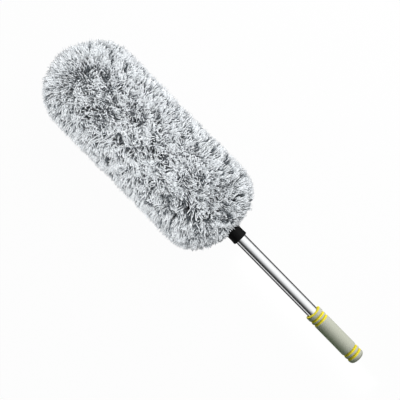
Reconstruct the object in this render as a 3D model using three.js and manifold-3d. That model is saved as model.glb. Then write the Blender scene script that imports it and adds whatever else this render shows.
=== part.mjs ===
// Telescopic car duster: a shaggy fibre head sewn over a flat plastic frame, on a two-stage steel pole
// with a twist lock inside it and a two-colour foam grip. Millimetres, +Z up. The duster lies on its head:
// the pole runs along X, the grip at -X and the head at +X, and the head's lowest fibres are at Z = 0.

import * as THREE from "three";
import { mergeVertices } from "three/addons/utils/BufferGeometryUtils.js";
import Module from "manifold-3d";

const wasm = await Module();
wasm.setup();

// Driving dimensions, in millimetres unless the name says otherwise

// Lengths that show from the end of the grip to the tip of the head
const GRIP_LENGTH = 106;
const TUBE_SHOWN = 165;
const COLLAR_SHOWN = 20;
const HEAD_LENGTH = 401;

// Gaps between pieces
const SEAT_GAP = 0.3;
const RUN_GAP = 0.3;

// Two-stage pole
const OUTER_TUBE_DIAMETER = 20;
const INNER_TUBE_DIAMETER = 17;
const TUBE_WALL = 0.8;
const TUBE_SEAT_IN_COLLAR = 7;
const BUSH_LENGTH = 20;
const BUSH_FLANGE = 2;
const END_PLUG_LENGTH = 9;
const END_PLUG_FLANGE = 2;

// Foam grip: grey skin bands on a yellow core, which shows as ridges in the grooves and as the front lip
const GRIP_DIAMETER = 28;
const GRIP_SKIN = 1.4;
const GRIP_END_WALL = 4.7;
const GRIP_END_ROUND = 6.5;
const GRIP_BAND_ROUND = 0.9;
const GRIP_LIP_LENGTH = 4.4;
const GRIP_LIP_DIAMETER = 28;
const GROOVE_WIDTH = 4.6;
const GROOVE_DEPTH = 0.6;
const GROOVES_FROM_END = [10.6, 18.9];
const GROOVES_FROM_FRONT = [18.8, 11.7];

// Twist lock at the foot of the inner tube
const LOCK_SCREW_DIAMETER = 6;
const LOCK_HEAD_DIAMETER = 10;
const LOCK_HEAD_HEIGHT = 4;
const LOCK_PLUG_FLANGE = 2.4;
const LOCK_PLUG_DEPTH = 22;
const LOCK_PLUG_SHOULDER = 12;
const EXPANDER_LENGTH = 22;
const EXPANDER_SLOT = 2.4;
const CONE_LENGTH = 16;
const CONE_LARGE_DIAMETER = 12.6;
const CONE_SMALL_DIAMETER = 8.4;
const CONE_SHOWN = 6;
const CONE_TRAVEL = 1.5;
const STOP_NUT_HEIGHT = 2.5;
const STOP_NUT_DIAMETER = 10;
const LOCK_FOOT_CLEARANCE = 2.5;
const SCREW_FOOT_PROUD = 0.6;

// Neck: the collar that shows, the socket behind it and the hem of the cover
const COLLAR_DIAMETER = 26.8;
const COLLAR_WAIST_DIAMETER = 25.4;
const COLLAR_HIDDEN = 12;
const COLLAR_LIP_ROUND = 2.2;
const NECK_DIAMETER = 22;
const SOCKET_DEPTH = 56;
const NECK_NOSE = 34;
const NECK_NOSE_DIAMETER = 9;
const HEM_WIDTH = 10;
const HEM_THICKNESS = 1.2;
const HEM_ELASTIC_DIAMETER = 2.2;
const NECK_SCREW_DIAMETER = 3;
const NECK_SCREW_LENGTH = 6.5;
const NECK_SCREW_HEAD_DIAMETER = 5.6;
const NECK_SCREW_HEAD_HEIGHT = 2;
const NECK_SCREW_FROM_HEM = 8;

// Flat frame inside the head
const FRAME_WIDTH = 75;
const FRAME_THICKNESS = 7;
const FRAME_BEVEL = 1.2;
const FRAME_RIM = 11;
const FRAME_RIB = 11;
const FRAME_WINDOWS = 4;
const FRAME_WINDOW_ROUND = 7;
const FRAME_FROM_PILE_START = 30;
const FRAME_FROM_TIP = 52;

// Head cover: two panels of long pile, sewn together round the frame
const HEAD_WIDTH = 167;
const HEAD_THICKNESS = 112;
const HEAD_NEAR_CAP = 49;
const HEAD_FAR_CAP = 73;
const SECTION_POWER = 2.6;
const LOOSE_PILE = 22;
const SEAM_GAP = 0.3;
const FOOT_CUT = 0.5;
const COVER_SLACK = 1;
const NEAR_ROWS = 4;
const SIDE_ROWS = 12;
const FAR_ROWS = 5;
const STRAND_COLUMNS = 12;
const BARE_ROWS_AT_NECK = 1;
const STRAND_BASE_INSET = 0.12;
const STRAND_SHORTEST = 0.78;
const STRAND_LEAN = 0.8;

// Facets
const ROUND_SEGMENTS = 32;
const SMALL_SEGMENTS = 20;
const HEX_SEGMENTS = 6;
const ARC_STEPS = 3;
const MERGE_DISTANCE = 1e-4;
const POINT_SHARE = 1e-6;

// Places along the pole, measured from the end of the grip
const gripFront = GRIP_LENGTH;
const gripLipStart = gripFront - GRIP_LIP_LENGTH;
const grooves = [...GROOVES_FROM_END, ...GROOVES_FROM_FRONT.map((place) => gripFront - place)];
const collarMouth = gripFront + TUBE_SHOWN;
const pileStart = collarMouth + COLLAR_SHOWN;
const headTip = pileStart + HEAD_LENGTH;
const neckEnd = collarMouth + TUBE_SEAT_IN_COLLAR;
const collarTop = pileStart + COLLAR_HIDDEN;
const socketBottom = neckEnd + SOCKET_DEPTH;
const hemStart = collarTop + SEAT_GAP;
const hemEnd = hemStart + HEM_WIDTH;
const neckScrewAt = hemEnd + NECK_SCREW_FROM_HEM;
const bushFace = neckEnd - SEAT_GAP;
const tubeMouth = bushFace - BUSH_FLANGE - SEAT_GAP;
const plugFlangeStart = GRIP_END_WALL + SEAT_GAP;
const tubeFoot = plugFlangeStart + END_PLUG_FLANGE + SEAT_GAP;
const plugTop = plugFlangeStart + END_PLUG_LENGTH;
const screwFoot = plugTop + LOCK_FOOT_CLEARANCE;
const stopNutStart = screwFoot + SCREW_FOOT_PROUD;
const coneStart = stopNutStart + STOP_NUT_HEIGHT + CONE_TRAVEL + RUN_GAP;
const expanderStart = coneStart + CONE_SHOWN;
const expanderEnd = expanderStart + EXPANDER_LENGTH;
const lockFlangeStart = expanderEnd + RUN_GAP;
const innerTubeFoot = lockFlangeStart + LOCK_PLUG_FLANGE + SEAT_GAP;
const lockShoulder = innerTubeFoot + LOCK_PLUG_SHOULDER;
const lockPlugTop = innerTubeFoot + LOCK_PLUG_DEPTH;
const frameStart = pileStart + FRAME_FROM_PILE_START;
const frameEnd = headTip - FRAME_FROM_TIP;
const strandRows = NEAR_ROWS + SIDE_ROWS + FAR_ROWS;

// Radii that several pieces share
const outerTubeRadius = OUTER_TUBE_DIAMETER / 2;
const outerBoreRadius = outerTubeRadius - TUBE_WALL;
const innerTubeRadius = INNER_TUBE_DIAMETER / 2;
const innerBoreRadius = innerTubeRadius - TUBE_WALL;
const gripRadius = GRIP_DIAMETER / 2;
const coreRadius = gripRadius - GRIP_SKIN - SEAT_GAP;
const neckRadius = NECK_DIAMETER / 2;
const collarRadius = COLLAR_DIAMETER / 2;
const lockScrewRadius = LOCK_SCREW_DIAMETER / 2;
const screwBoreRadius = lockScrewRadius + RUN_GAP;
const hemRadius = neckRadius + SEAT_GAP + HEM_THICKNESS;
const elasticRadius = HEM_ELASTIC_DIAMETER / 2;

// Finishes
function finish(color, roughness, metalness = 0) {
  return new THREE.MeshStandardMaterial({ color, roughness, metalness });
}

const steel = finish(0xc8cacd, 0.12, 1);
const plainSteel = finish(0x9a9da1, 0.35, 1);
const blackPlastic = finish(0x121314, 0.4);
const whiteNylon = finish(0xdad8d0, 0.5);
const framePlastic = finish(0x5a5e62, 0.55);
const yellowFoam = finish(0xf0d01c, 0.8);
const greyFoam = finish(0xa7a99d, 0.85);
const pileFibre = finish(0xc9ced2, 0.95);
const hemTape = finish(0x8c9094, 0.9);
const elasticCord = finish(0xe8e8e6, 0.8);

// Solid modelling helpers

/** The closed body of a geometry, ready to be joined or cut. */
function solid(geometry) {
  const bare = geometry.clone();
  bare.deleteAttribute("normal");
  bare.deleteAttribute("uv");
  const merged = mergeVertices(bare, MERGE_DISTANCE);
  return new wasm.Manifold(
    new wasm.Mesh({
      numProp: 3,
      vertProperties: new Float32Array(merged.attributes.position.array),
      triVerts: new Uint32Array(merged.index.array),
    }),
  );
}

/** The geometry of a body that was joined or cut. */
function surface(body) {
  const mesh = body.getMesh();
  const geometry = new THREE.BufferGeometry();
  geometry.setAttribute("position", new THREE.BufferAttribute(mesh.vertProperties, 3));
  geometry.setIndex(new THREE.BufferAttribute(mesh.triVerts, 1));
  geometry.computeVertexNormals();
  return geometry;
}

/** A round piece about the pole: the outline goes up its outside and down its inside. */
function turned(outline, segments = ROUND_SEGMENTS) {
  const points = outline.getPoints(ARC_STEPS);
  return new THREE.LatheGeometry(points, segments);
}

/** An outline of straight stretches through [radius, station] corners, closed on itself. */
function corners(...places) {
  const path = new THREE.Path();
  path.moveTo(...places[0]);
  places.slice(1).forEach((place) => path.lineTo(...place));
  path.closePath();
  return path;
}

/** A plain tube about the pole between two stations. */
function tube(from, to, bore, radius, segments = ROUND_SEGMENTS) {
  const outline = corners([radius, from], [radius, to], [bore, to], [bore, from]);
  return turned(outline, segments);
}

/** A solid round bar about the pole between two stations. */
function bar(from, to, radius, segments = ROUND_SEGMENTS) {
  const outline = new THREE.Path();
  outline.moveTo(0, from);
  outline.lineTo(radius, from);
  outline.lineTo(radius, to);
  outline.lineTo(0, to);
  return turned(outline, segments);
}

/** A band of skin whose two outer edges are rounded. */
function softBand(from, to, bore, radius, round) {
  const outline = new THREE.Path();
  outline.moveTo(bore, from);
  outline.lineTo(radius - round, from);
  outline.quadraticCurveTo(radius, from, radius, from + round);
  outline.lineTo(radius, to - round);
  outline.quadraticCurveTo(radius, to, radius - round, to);
  outline.lineTo(bore, to);
  outline.closePath();
  return turned(outline);
}

/** A round bar that stands across the pole, from one height to another over a station. */
function crossBar(station, low, high, radius) {
  const geometry = new THREE.CylinderGeometry(radius, radius, high - low, SMALL_SEGMENTS);
  geometry.rotateX(Math.PI / 2);
  geometry.translate(0, station, (low + high) / 2);
  return geometry;
}

// The pole group: inside it, Y is the place along the pole and Z is up
const pole = new THREE.Group();
pole.rotation.z = -Math.PI / 2;
pole.position.set(-headTip / 2, 0, restDepth());

/** Adds one named piece to the pole. */
function add(name, geometry, material) {
  const mesh = new THREE.Mesh(geometry, material);
  mesh.name = name;
  pole.add(mesh);
}

// Foam grip

/** The yellow core: a sleeve on the outer tube with a ridge in each groove and a wider lip at its front. */
function gripCore() {
  const bore = outerTubeRadius + SEAT_GAP;
  const ridgeRadius = gripRadius - GROOVE_DEPTH;
  const ridgeHalf = GROOVE_WIDTH / 2 - SEAT_GAP;
  const lipRadius = GRIP_LIP_DIAMETER / 2;
  const lipRound = GRIP_LIP_LENGTH / 2;
  const outline = new THREE.Path();
  outline.moveTo(bore, plugFlangeStart);
  outline.lineTo(coreRadius, plugFlangeStart);
  grooves.forEach((station) => {
    outline.lineTo(coreRadius, station - ridgeHalf);
    outline.lineTo(ridgeRadius, station - ridgeHalf);
    outline.lineTo(ridgeRadius, station + ridgeHalf);
    outline.lineTo(coreRadius, station + ridgeHalf);
  });
  outline.lineTo(coreRadius, gripLipStart);
  outline.lineTo(lipRadius - lipRound, gripLipStart);
  outline.quadraticCurveTo(lipRadius, gripLipStart, lipRadius, gripFront - lipRound);
  outline.quadraticCurveTo(lipRadius, gripFront, lipRadius - lipRound, gripFront);
  outline.lineTo(bore, gripFront);
  outline.closePath();
  return turned(outline);
}

/** The grey end of the grip: a cup with a rounded rim that closes over the tube and the core. */
function gripEndCup(to) {
  const bore = gripRadius - GRIP_SKIN;
  const round = Math.min(GRIP_END_ROUND, to - GRIP_BAND_ROUND);
  const outline = new THREE.Path();
  outline.moveTo(0, 0);
  outline.lineTo(gripRadius - round, 0);
  outline.absarc(gripRadius - round, round, round, -Math.PI / 2, 0, false);
  outline.lineTo(gripRadius, to - GRIP_BAND_ROUND);
  outline.quadraticCurveTo(gripRadius, to, gripRadius - GRIP_BAND_ROUND, to);
  outline.lineTo(bore, to);
  outline.lineTo(bore, GRIP_END_WALL);
  outline.lineTo(0, GRIP_END_WALL);
  return turned(outline);
}

/** The grey skin bands between the grooves, from the end of the grip to its front lip. */
function gripBands() {
  const names = ["grip_rear_ring", "grip_sleeve", "grip_front_ring", "grip_front_band"];
  const bore = gripRadius - GRIP_SKIN;
  add("grip_end_cup", gripEndCup(grooves[0] - GROOVE_WIDTH / 2), greyFoam);
  names.forEach((name, i) => {
    const from = grooves[i] + GROOVE_WIDTH / 2;
    const isLast = i === names.length - 1;
    const to = isLast ? gripLipStart - SEAT_GAP : grooves[i + 1] - GROOVE_WIDTH / 2;
    add(name, softBand(from, to, bore, gripRadius, GRIP_BAND_ROUND), greyFoam);
  });
}

// Two-stage pole

/** The bush in the mouth of the outer tube: a liner with a flange on the rim of the tube. */
function mouthBush() {
  const bore = innerTubeRadius + RUN_GAP;
  const liner = outerBoreRadius - SEAT_GAP / 3;
  const flangeStart = bushFace - BUSH_FLANGE;
  const linerStart = bushFace - BUSH_LENGTH;
  return turned(
    corners(
      [bore, linerStart],
      [liner, linerStart],
      [liner, flangeStart],
      [outerTubeRadius, flangeStart],
      [outerTubeRadius, bushFace],
      [bore, bushFace],
    ),
  );
}

/** The plug that closes the foot of the outer tube. */
function tubeEndPlug() {
  const flangeEnd = plugFlangeStart + END_PLUG_FLANGE;
  const outline = new THREE.Path();
  outline.moveTo(0, plugFlangeStart);
  outline.lineTo(outerTubeRadius, plugFlangeStart);
  outline.lineTo(outerTubeRadius, flangeEnd);
  outline.lineTo(outerBoreRadius - SEAT_GAP, flangeEnd);
  outline.lineTo(outerBoreRadius - SEAT_GAP, plugTop);
  outline.lineTo(0, plugTop);
  return turned(outline);
}

/** The inner tube, with the hole that the neck screw goes through. */
function innerTube() {
  const body = tube(innerTubeFoot, socketBottom - SEAT_GAP, innerBoreRadius, innerTubeRadius);
  const hole = crossBar(neckScrewAt, 0, neckRadius, NECK_SCREW_DIAMETER / 2 + SEAT_GAP);
  return surface(solid(body).subtract(solid(hole)));
}

// Twist lock

/** The plug in the foot of the inner tube: it holds the head of the lock screw. */
function lockPlug() {
  const body = innerBoreRadius - SEAT_GAP / 2;
  const headRoom = LOCK_HEAD_DIAMETER / 2 + SEAT_GAP;
  const flangeEnd = lockFlangeStart + LOCK_PLUG_FLANGE;
  return turned(
    corners(
      [screwBoreRadius, lockFlangeStart],
      [innerTubeRadius, lockFlangeStart],
      [innerTubeRadius, flangeEnd],
      [body, flangeEnd],
      [body, lockPlugTop],
      [headRoom, lockPlugTop],
      [headRoom, lockShoulder],
      [screwBoreRadius, lockShoulder],
    ),
    SMALL_SEGMENTS,
  );
}

/** The lock screw: a round shank with a hexagon head that sits on the plug's shoulder. */
function lockScrew() {
  const headStart = lockShoulder + SEAT_GAP;
  const shank = bar(screwFoot, headStart + LOCK_HEAD_HEIGHT / 2, lockScrewRadius, SMALL_SEGMENTS);
  const head = bar(headStart, headStart + LOCK_HEAD_HEIGHT, LOCK_HEAD_DIAMETER / 2, HEX_SEGMENTS);
  return surface(solid(shank).add(solid(head)));
}

/** Radius of the expander's tapered seat at a station, a running gap outside the cone. */
function coneSeatRadius(station) {
  const share = (station - coneStart) / CONE_LENGTH;
  const radius = THREE.MathUtils.lerp(CONE_LARGE_DIAMETER, CONE_SMALL_DIAMETER, share) / 2;
  return radius + RUN_GAP;
}

/** The split expander: a sleeve with a tapered seat below, a screw bore above and one slot. */
function expanderSleeve() {
  const outside = outerBoreRadius - RUN_GAP;
  const coneEnd = coneStart + CONE_LENGTH + RUN_GAP;
  const sleeve = turned(
    corners(
      [coneSeatRadius(expanderStart), expanderStart],
      [outside, expanderStart],
      [outside, expanderEnd],
      [screwBoreRadius, expanderEnd],
      [screwBoreRadius, coneEnd],
      [coneSeatRadius(coneEnd), coneEnd],
    ),
    SMALL_SEGMENTS,
  );
  const slotDepth = outside + RUN_GAP;
  const slot = new THREE.BoxGeometry(EXPANDER_SLOT, EXPANDER_LENGTH * 2, slotDepth);
  slot.translate(0, (expanderStart + expanderEnd) / 2, slotDepth / 2);
  return surface(solid(sleeve).subtract(solid(slot)));
}

/** The cone nut that spreads the expander: its key runs in the expander's slot. */
function coneNut() {
  const cone = turned(
    corners(
      [screwBoreRadius, coneStart],
      [CONE_LARGE_DIAMETER / 2, coneStart],
      [CONE_SMALL_DIAMETER / 2, coneStart + CONE_LENGTH],
      [screwBoreRadius, coneStart + CONE_LENGTH],
    ),
    SMALL_SEGMENTS,
  );
  const keyWidth = EXPANDER_SLOT - 2 * RUN_GAP;
  const keyTop = outerBoreRadius - 2 * RUN_GAP;
  const keyFoot = CONE_SMALL_DIAMETER / 2 - TUBE_WALL;
  const key = new THREE.BoxGeometry(keyWidth, CONE_LENGTH, keyTop - keyFoot);
  key.translate(0, coneStart + CONE_LENGTH / 2, (keyTop + keyFoot) / 2);
  return surface(solid(cone).add(solid(key)));
}

/** The nut on the foot of the lock screw, which keeps the cone nut on it. */
function stopNut() {
  const nut = bar(stopNutStart, stopNutStart + STOP_NUT_HEIGHT, STOP_NUT_DIAMETER / 2, HEX_SEGMENTS);
  const bore = bar(screwFoot, coneStart, screwBoreRadius, SMALL_SEGMENTS);
  return surface(solid(nut).subtract(solid(bore)));
}

// Neck of the head

/** The black collar: a rounded lip at its mouth, a slight waist, and a seat for the outer tube. */
function neckCollar() {
  const waist = COLLAR_WAIST_DIAMETER / 2;
  const mouthBore = outerTubeRadius + RUN_GAP;
  const neckBore = neckRadius + SEAT_GAP;
  const shoulder = neckEnd - SEAT_GAP / 2;
  const lip = collarMouth + COLLAR_LIP_ROUND;
  const waistReach = (pileStart - lip) / 4;
  const outline = new THREE.Path();
  outline.moveTo(mouthBore, collarMouth);
  outline.lineTo(collarRadius - COLLAR_LIP_ROUND, collarMouth);
  outline.quadraticCurveTo(collarRadius, collarMouth, collarRadius, lip);
  outline.bezierCurveTo(waist, lip + waistReach, waist, pileStart - waistReach, collarRadius, pileStart);
  outline.lineTo(collarRadius, collarTop);
  outline.lineTo(neckBore, collarTop);
  outline.lineTo(neckBore, shoulder);
  outline.lineTo(mouthBore, shoulder);
  outline.closePath();
  return turned(outline);
}

/** The tape hem of the cover's mouth, wrapped round the neck. */
function hemBand() {
  return tube(hemStart, hemEnd, neckRadius + SEAT_GAP, hemRadius);
}

/** The elastic that draws the hem in: a closed ring round the tape. */
function hemElastic() {
  const ring = new THREE.TorusGeometry(
    hemRadius + SEAT_GAP + elasticRadius,
    elasticRadius,
    SMALL_SEGMENTS / 2,
    ROUND_SEGMENTS,
  );
  ring.rotateX(Math.PI / 2);
  ring.translate(0, (hemStart + hemEnd) / 2, 0);
  return ring;
}

/** The screw that holds the inner tube in the neck: a shank and a pan head on the neck's flat. */
function neckScrew() {
  const seat = neckRadius + SEAT_GAP;
  const shank = crossBar(neckScrewAt, seat - NECK_SCREW_LENGTH, seat + SEAT_GAP, NECK_SCREW_DIAMETER / 2);
  const head = crossBar(neckScrewAt, seat, seat + NECK_SCREW_HEAD_HEIGHT, NECK_SCREW_HEAD_DIAMETER / 2);
  return surface(solid(shank).add(solid(head)));
}

/** Outline of the frame in plan, grown by a margin: straight sides and half-round ends. */
function frameOutline(margin) {
  const radius = FRAME_WIDTH / 2 + margin;
  const shape = new THREE.Shape();
  shape.moveTo(radius, frameStart + FRAME_WIDTH / 2);
  shape.lineTo(radius, frameEnd - FRAME_WIDTH / 2);
  shape.absarc(0, frameEnd - FRAME_WIDTH / 2, radius, 0, Math.PI, false);
  shape.lineTo(-radius, frameStart + FRAME_WIDTH / 2);
  shape.absarc(0, frameStart + FRAME_WIDTH / 2, radius, Math.PI, 2 * Math.PI, false);
  return shape;
}

/** One window of the frame: a rectangle with round corners between two stations. */
function frameWindow(from, to) {
  const side = FRAME_WIDTH / 2 - FRAME_RIM;
  const round = FRAME_WINDOW_ROUND;
  const hole = new THREE.Path();
  hole.moveTo(side, from + round);
  hole.lineTo(side, to - round);
  hole.quadraticCurveTo(side, to, side - round, to);
  hole.lineTo(round - side, to);
  hole.quadraticCurveTo(-side, to, -side, to - round);
  hole.lineTo(-side, from + round);
  hole.quadraticCurveTo(-side, from, round - side, from);
  hole.lineTo(side - round, from);
  hole.quadraticCurveTo(side, from, side, from + round);
  return hole;
}

/** A slab of an outline, centred on the frame's middle plane, with a bevel on its edges. */
function slab(shape, thickness, bevel) {
  const geometry = new THREE.ExtrudeGeometry(shape, {
    depth: thickness - 2 * bevel,
    bevelEnabled: bevel > 0,
    bevelThickness: bevel,
    bevelSize: bevel,
    bevelOffset: -bevel,
    bevelSegments: 1,
    curveSegments: ARC_STEPS,
  });
  geometry.translate(0, 0, bevel - thickness / 2);
  return geometry;
}

/** The frame: a windowed paddle moulded in one piece with the neck socket that takes the inner tube. */
function headFrame() {
  const shape = frameOutline(0);
  const neckNoseStart = socketBottom + FRAME_RIB / 2;
  const neckNoseEnd = neckNoseStart + NECK_NOSE;
  const firstWindow = neckNoseEnd + FRAME_RIB;
  const lastWindow = frameEnd - FRAME_RIM - FRAME_WINDOW_ROUND;
  const pitch = (lastWindow - firstWindow + FRAME_RIB) / FRAME_WINDOWS;
  for (let i = 0; i < FRAME_WINDOWS; i += 1) {
    const from = firstWindow + i * pitch;
    shape.holes.push(frameWindow(from, from + pitch - FRAME_RIB));
  }
  const paddle = slab(shape, FRAME_THICKNESS, FRAME_BEVEL);
  const noseOutline = new THREE.Path();
  noseOutline.moveTo(0, neckEnd);
  noseOutline.lineTo(neckRadius, neckEnd);
  noseOutline.lineTo(neckRadius, neckNoseStart);
  noseOutline.lineTo(NECK_NOSE_DIAMETER / 2, neckNoseEnd);
  noseOutline.lineTo(0, neckNoseEnd);
  const socket = bar(neckEnd - NECK_DIAMETER, socketBottom, innerTubeRadius + SEAT_GAP);
  const screwHole = crossBar(neckScrewAt, 0, 2 * neckRadius, NECK_SCREW_DIAMETER / 2 + SEAT_GAP);
  return surface(
    solid(paddle).add(solid(turned(noseOutline))).subtract(solid(socket)).subtract(solid(screwHole)),
  );
}

// Pile cover

/** A rounded shell of the head: its half sizes, its start and end, and the depth of its two ends. */
function headShell(inset) {
  return {
    halfWidth: HEAD_WIDTH / 2 - inset,
    halfThickness: (HEAD_THICKNESS - SEAM_GAP) / 2 - inset,
    start: pileStart + inset / 2,
    end: headTip - inset,
    nearCap: HEAD_NEAR_CAP - inset / 2,
    farCap: HEAD_FAR_CAP - inset,
  };
}

/** Station of a row on a shell, and how wide the shell is there as a share of its middle. */
function rowOf(shell, row) {
  const sideStart = shell.start + shell.nearCap;
  const sideEnd = shell.end - shell.farCap;
  if (row <= NEAR_ROWS) {
    const turn = ((row / NEAR_ROWS) * Math.PI) / 2;
    return { station: sideStart - shell.nearCap * Math.cos(turn), share: Math.sin(turn) };
  }
  if (row <= NEAR_ROWS + SIDE_ROWS) {
    const along = (row - NEAR_ROWS) / SIDE_ROWS;
    return { station: THREE.MathUtils.lerp(sideStart, sideEnd, along), share: 1 };
  }
  const turn = (((row - NEAR_ROWS - SIDE_ROWS) / FAR_ROWS) * Math.PI) / 2;
  return { station: sideEnd + shell.farCap * Math.sin(turn), share: Math.cos(turn) };
}

/** A point of a shell's upper half, a superellipse in section, with columns from +X over the top to -X. */
function shellPoint(shell, row, column) {
  const { station, share } = rowOf(shell, row);
  const turn = (column / STRAND_COLUMNS) * Math.PI;
  const across = Math.abs(Math.cos(turn)) ** (2 / SECTION_POWER) * Math.sign(Math.cos(turn));
  const up = Math.abs(Math.sin(turn)) ** (2 / SECTION_POWER);
  const isPoint = share < POINT_SHARE;
  const isEdge = column === 0 || column === STRAND_COLUMNS || isPoint;
  return new THREE.Vector3(
    isPoint ? 0 : shell.halfWidth * share * across,
    station,
    SEAM_GAP / 2 + (isEdge ? 0 : shell.halfThickness * share * up),
  );
}

/** An even scatter of numbers from 0 to 1: the fraction of a count times an irrational step. */
function scatter(count, step) {
  const value = count * step;
  return value - Math.floor(value);
}

/** Depth under the pole of the face that the duster lies on: a cut into the lowest strand tips. */
function restDepth() {
  const lowest = shellPoint(headShell(0), NEAR_ROWS + SIDE_ROWS / 2, (STRAND_COLUMNS + 1) / 2);
  return lowest.z - FOOT_CUT;
}

/** Tip of the strand on one cell: on the outer shell, leaning a little, and shorter for some strands. */
function strandTip(core, outer, row, column) {
  const count = row * STRAND_COLUMNS + column + 1;
  const isMiddle = Math.abs(column + 0.5 - STRAND_COLUMNS / 2) < 1;
  const lean = isMiddle ? 0 : STRAND_LEAN;
  const leanRow = (scatter(count, Math.SQRT2) - 0.5) * STRAND_LEAN;
  const leanColumn = (scatter(count, Math.sqrt(3)) - 0.5) * lean;
  const shorter = scatter(count, Math.sqrt(5)) ** 2;
  const length = isMiddle ? 1 : THREE.MathUtils.lerp(1, STRAND_SHORTEST, shorter);
  const foot = shellPoint(core, row + 0.5, column + 0.5);
  const tip = shellPoint(outer, row + 0.5 + leanRow, column + 0.5 + leanColumn);
  return foot.lerp(tip, length);
}

/** One half of the cover: a dense body with a flat seam face and a four-sided strand on each cell. */
function pilePanel() {
  const core = headShell(LOOSE_PILE);
  const outer = headShell(0);
  const places = [];
  const face = (...points) => {
    const [a, b, c] = points;
    const shortest = Math.min(a.distanceTo(b), b.distanceTo(c), c.distanceTo(a));
    if (shortest < MERGE_DISTANCE) {
      return;
    }
    points.forEach((point) => places.push(point.x, point.y, point.z));
  };
  const strand = (ring, tip) => {
    const middle = new THREE.Vector3();
    ring.forEach((point) => middle.addScaledVector(point, 1 / ring.length));
    const base = ring.map((point) => point.clone().lerp(middle, STRAND_BASE_INSET));
    ring.forEach((point, i) => {
      const next = (i + 1) % ring.length;
      face(point, ring[next], base[next]);
      face(point, base[next], base[i]);
      face(base[i], base[next], tip);
    });
  };
  for (let row = 0; row < strandRows; row += 1) {
    for (let column = 0; column < STRAND_COLUMNS; column += 1) {
      const ring = [
        shellPoint(core, row, column),
        shellPoint(core, row + 1, column),
        shellPoint(core, row + 1, column + 1),
        shellPoint(core, row, column + 1),
      ];
      if (row === strandRows - 1) {
        ring.splice(2, 1);
      }
      if (row < BARE_ROWS_AT_NECK) {
        face(ring[0], ring[1], ring[2]);
        face(ring[0], ring[2], ring[3]);
      } else {
        strand(ring, strandTip(core, outer, row, column));
      }
    }
    const right = [row, row + 1].map((at) => shellPoint(core, at, 0));
    const left = [row, row + 1].map((at) => shellPoint(core, at, STRAND_COLUMNS));
    face(right[0], left[0], left[1]);
    face(right[0], left[1], right[1]);
  }
  const geometry = new THREE.BufferGeometry();
  geometry.setAttribute("position", new THREE.Float32BufferAttribute(places, 3));
  return solid(mergeVertices(geometry, MERGE_DISTANCE));
}

/** The room inside the cover: the frame and neck with slack, the hem, and the collar's way in. */
function coverRoom() {
  const frameRoom = slab(frameOutline(COVER_SLACK), FRAME_THICKNESS + 2 * COVER_SLACK, 0);
  const neckTop = socketBottom + FRAME_RIB / 2 + NECK_NOSE + COVER_SLACK;
  const hemRoom = hemRadius + SEAT_GAP + HEM_ELASTIC_DIAMETER + COVER_SLACK;
  const neckRoom = bar(collarMouth, neckTop, neckRadius + COVER_SLACK);
  const mouthRoom = bar(collarMouth, hemEnd + COVER_SLACK, hemRoom);
  const screwTop = neckRadius + 2 * SEAT_GAP + NECK_SCREW_HEAD_HEIGHT + COVER_SLACK;
  const screwRoom = crossBar(neckScrewAt, 0, screwTop, NECK_SCREW_HEAD_DIAMETER / 2 + COVER_SLACK);
  return solid(frameRoom).add(solid(neckRoom)).add(solid(mouthRoom)).add(solid(screwRoom));
}

/** A body turned over half a turn about the pole. */
function turnedOver(body) {
  return solid(surface(body).rotateY(Math.PI));
}

/** The two panels of the cover. The lower one is cut flat where the duster lies on it. */
function pileCover() {
  const panel = pilePanel();
  const room = coverRoom();
  const floor = new THREE.BoxGeometry(2 * HEAD_WIDTH, 2 * HEAD_LENGTH, HEAD_THICKNESS);
  floor.translate(0, (pileStart + headTip) / 2, -restDepth() - HEAD_THICKNESS / 2);
  const lower = turnedOver(panel).subtract(room).subtract(solid(floor));
  add("pile_panel_upper", surface(panel.subtract(room)), pileFibre);
  add("pile_panel_lower", surface(lower), pileFibre);
}

// Assembly, from the grip to the head
gripBands();
add("grip_core", gripCore(), yellowFoam);
add("tube_end_plug", tubeEndPlug(), blackPlastic);
add("outer_tube", tube(tubeFoot, tubeMouth, outerBoreRadius, outerTubeRadius), steel);
add("mouth_bush", mouthBush(), blackPlastic);
add("inner_tube", innerTube(), steel);
add("lock_plug", lockPlug(), whiteNylon);
add("lock_screw", lockScrew(), plainSteel);
add("expander_sleeve", expanderSleeve(), whiteNylon);
add("cone_nut", coneNut(), whiteNylon);
add("stop_nut", stopNut(), plainSteel);
add("neck_collar", neckCollar(), blackPlastic);
add("hem_band", hemBand(), hemTape);
add("hem_elastic", hemElastic(), elasticCord);
add("neck_screw", neckScrew(), plainSteel);
add("head_frame", headFrame(), framePlastic);
pileCover();

const duster = new THREE.Group();
duster.add(pole);

export default duster;
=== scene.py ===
"""Looks of a telescopic car duster: long-pile head, neck collar, steel pole and foam grip.

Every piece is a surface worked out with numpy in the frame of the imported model, in metres:
+X runs along the pole from the end of the grip to the tip of the head, and +Z is up.
"""

import logging
import math
from dataclasses import dataclass
from enum import Enum

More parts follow.
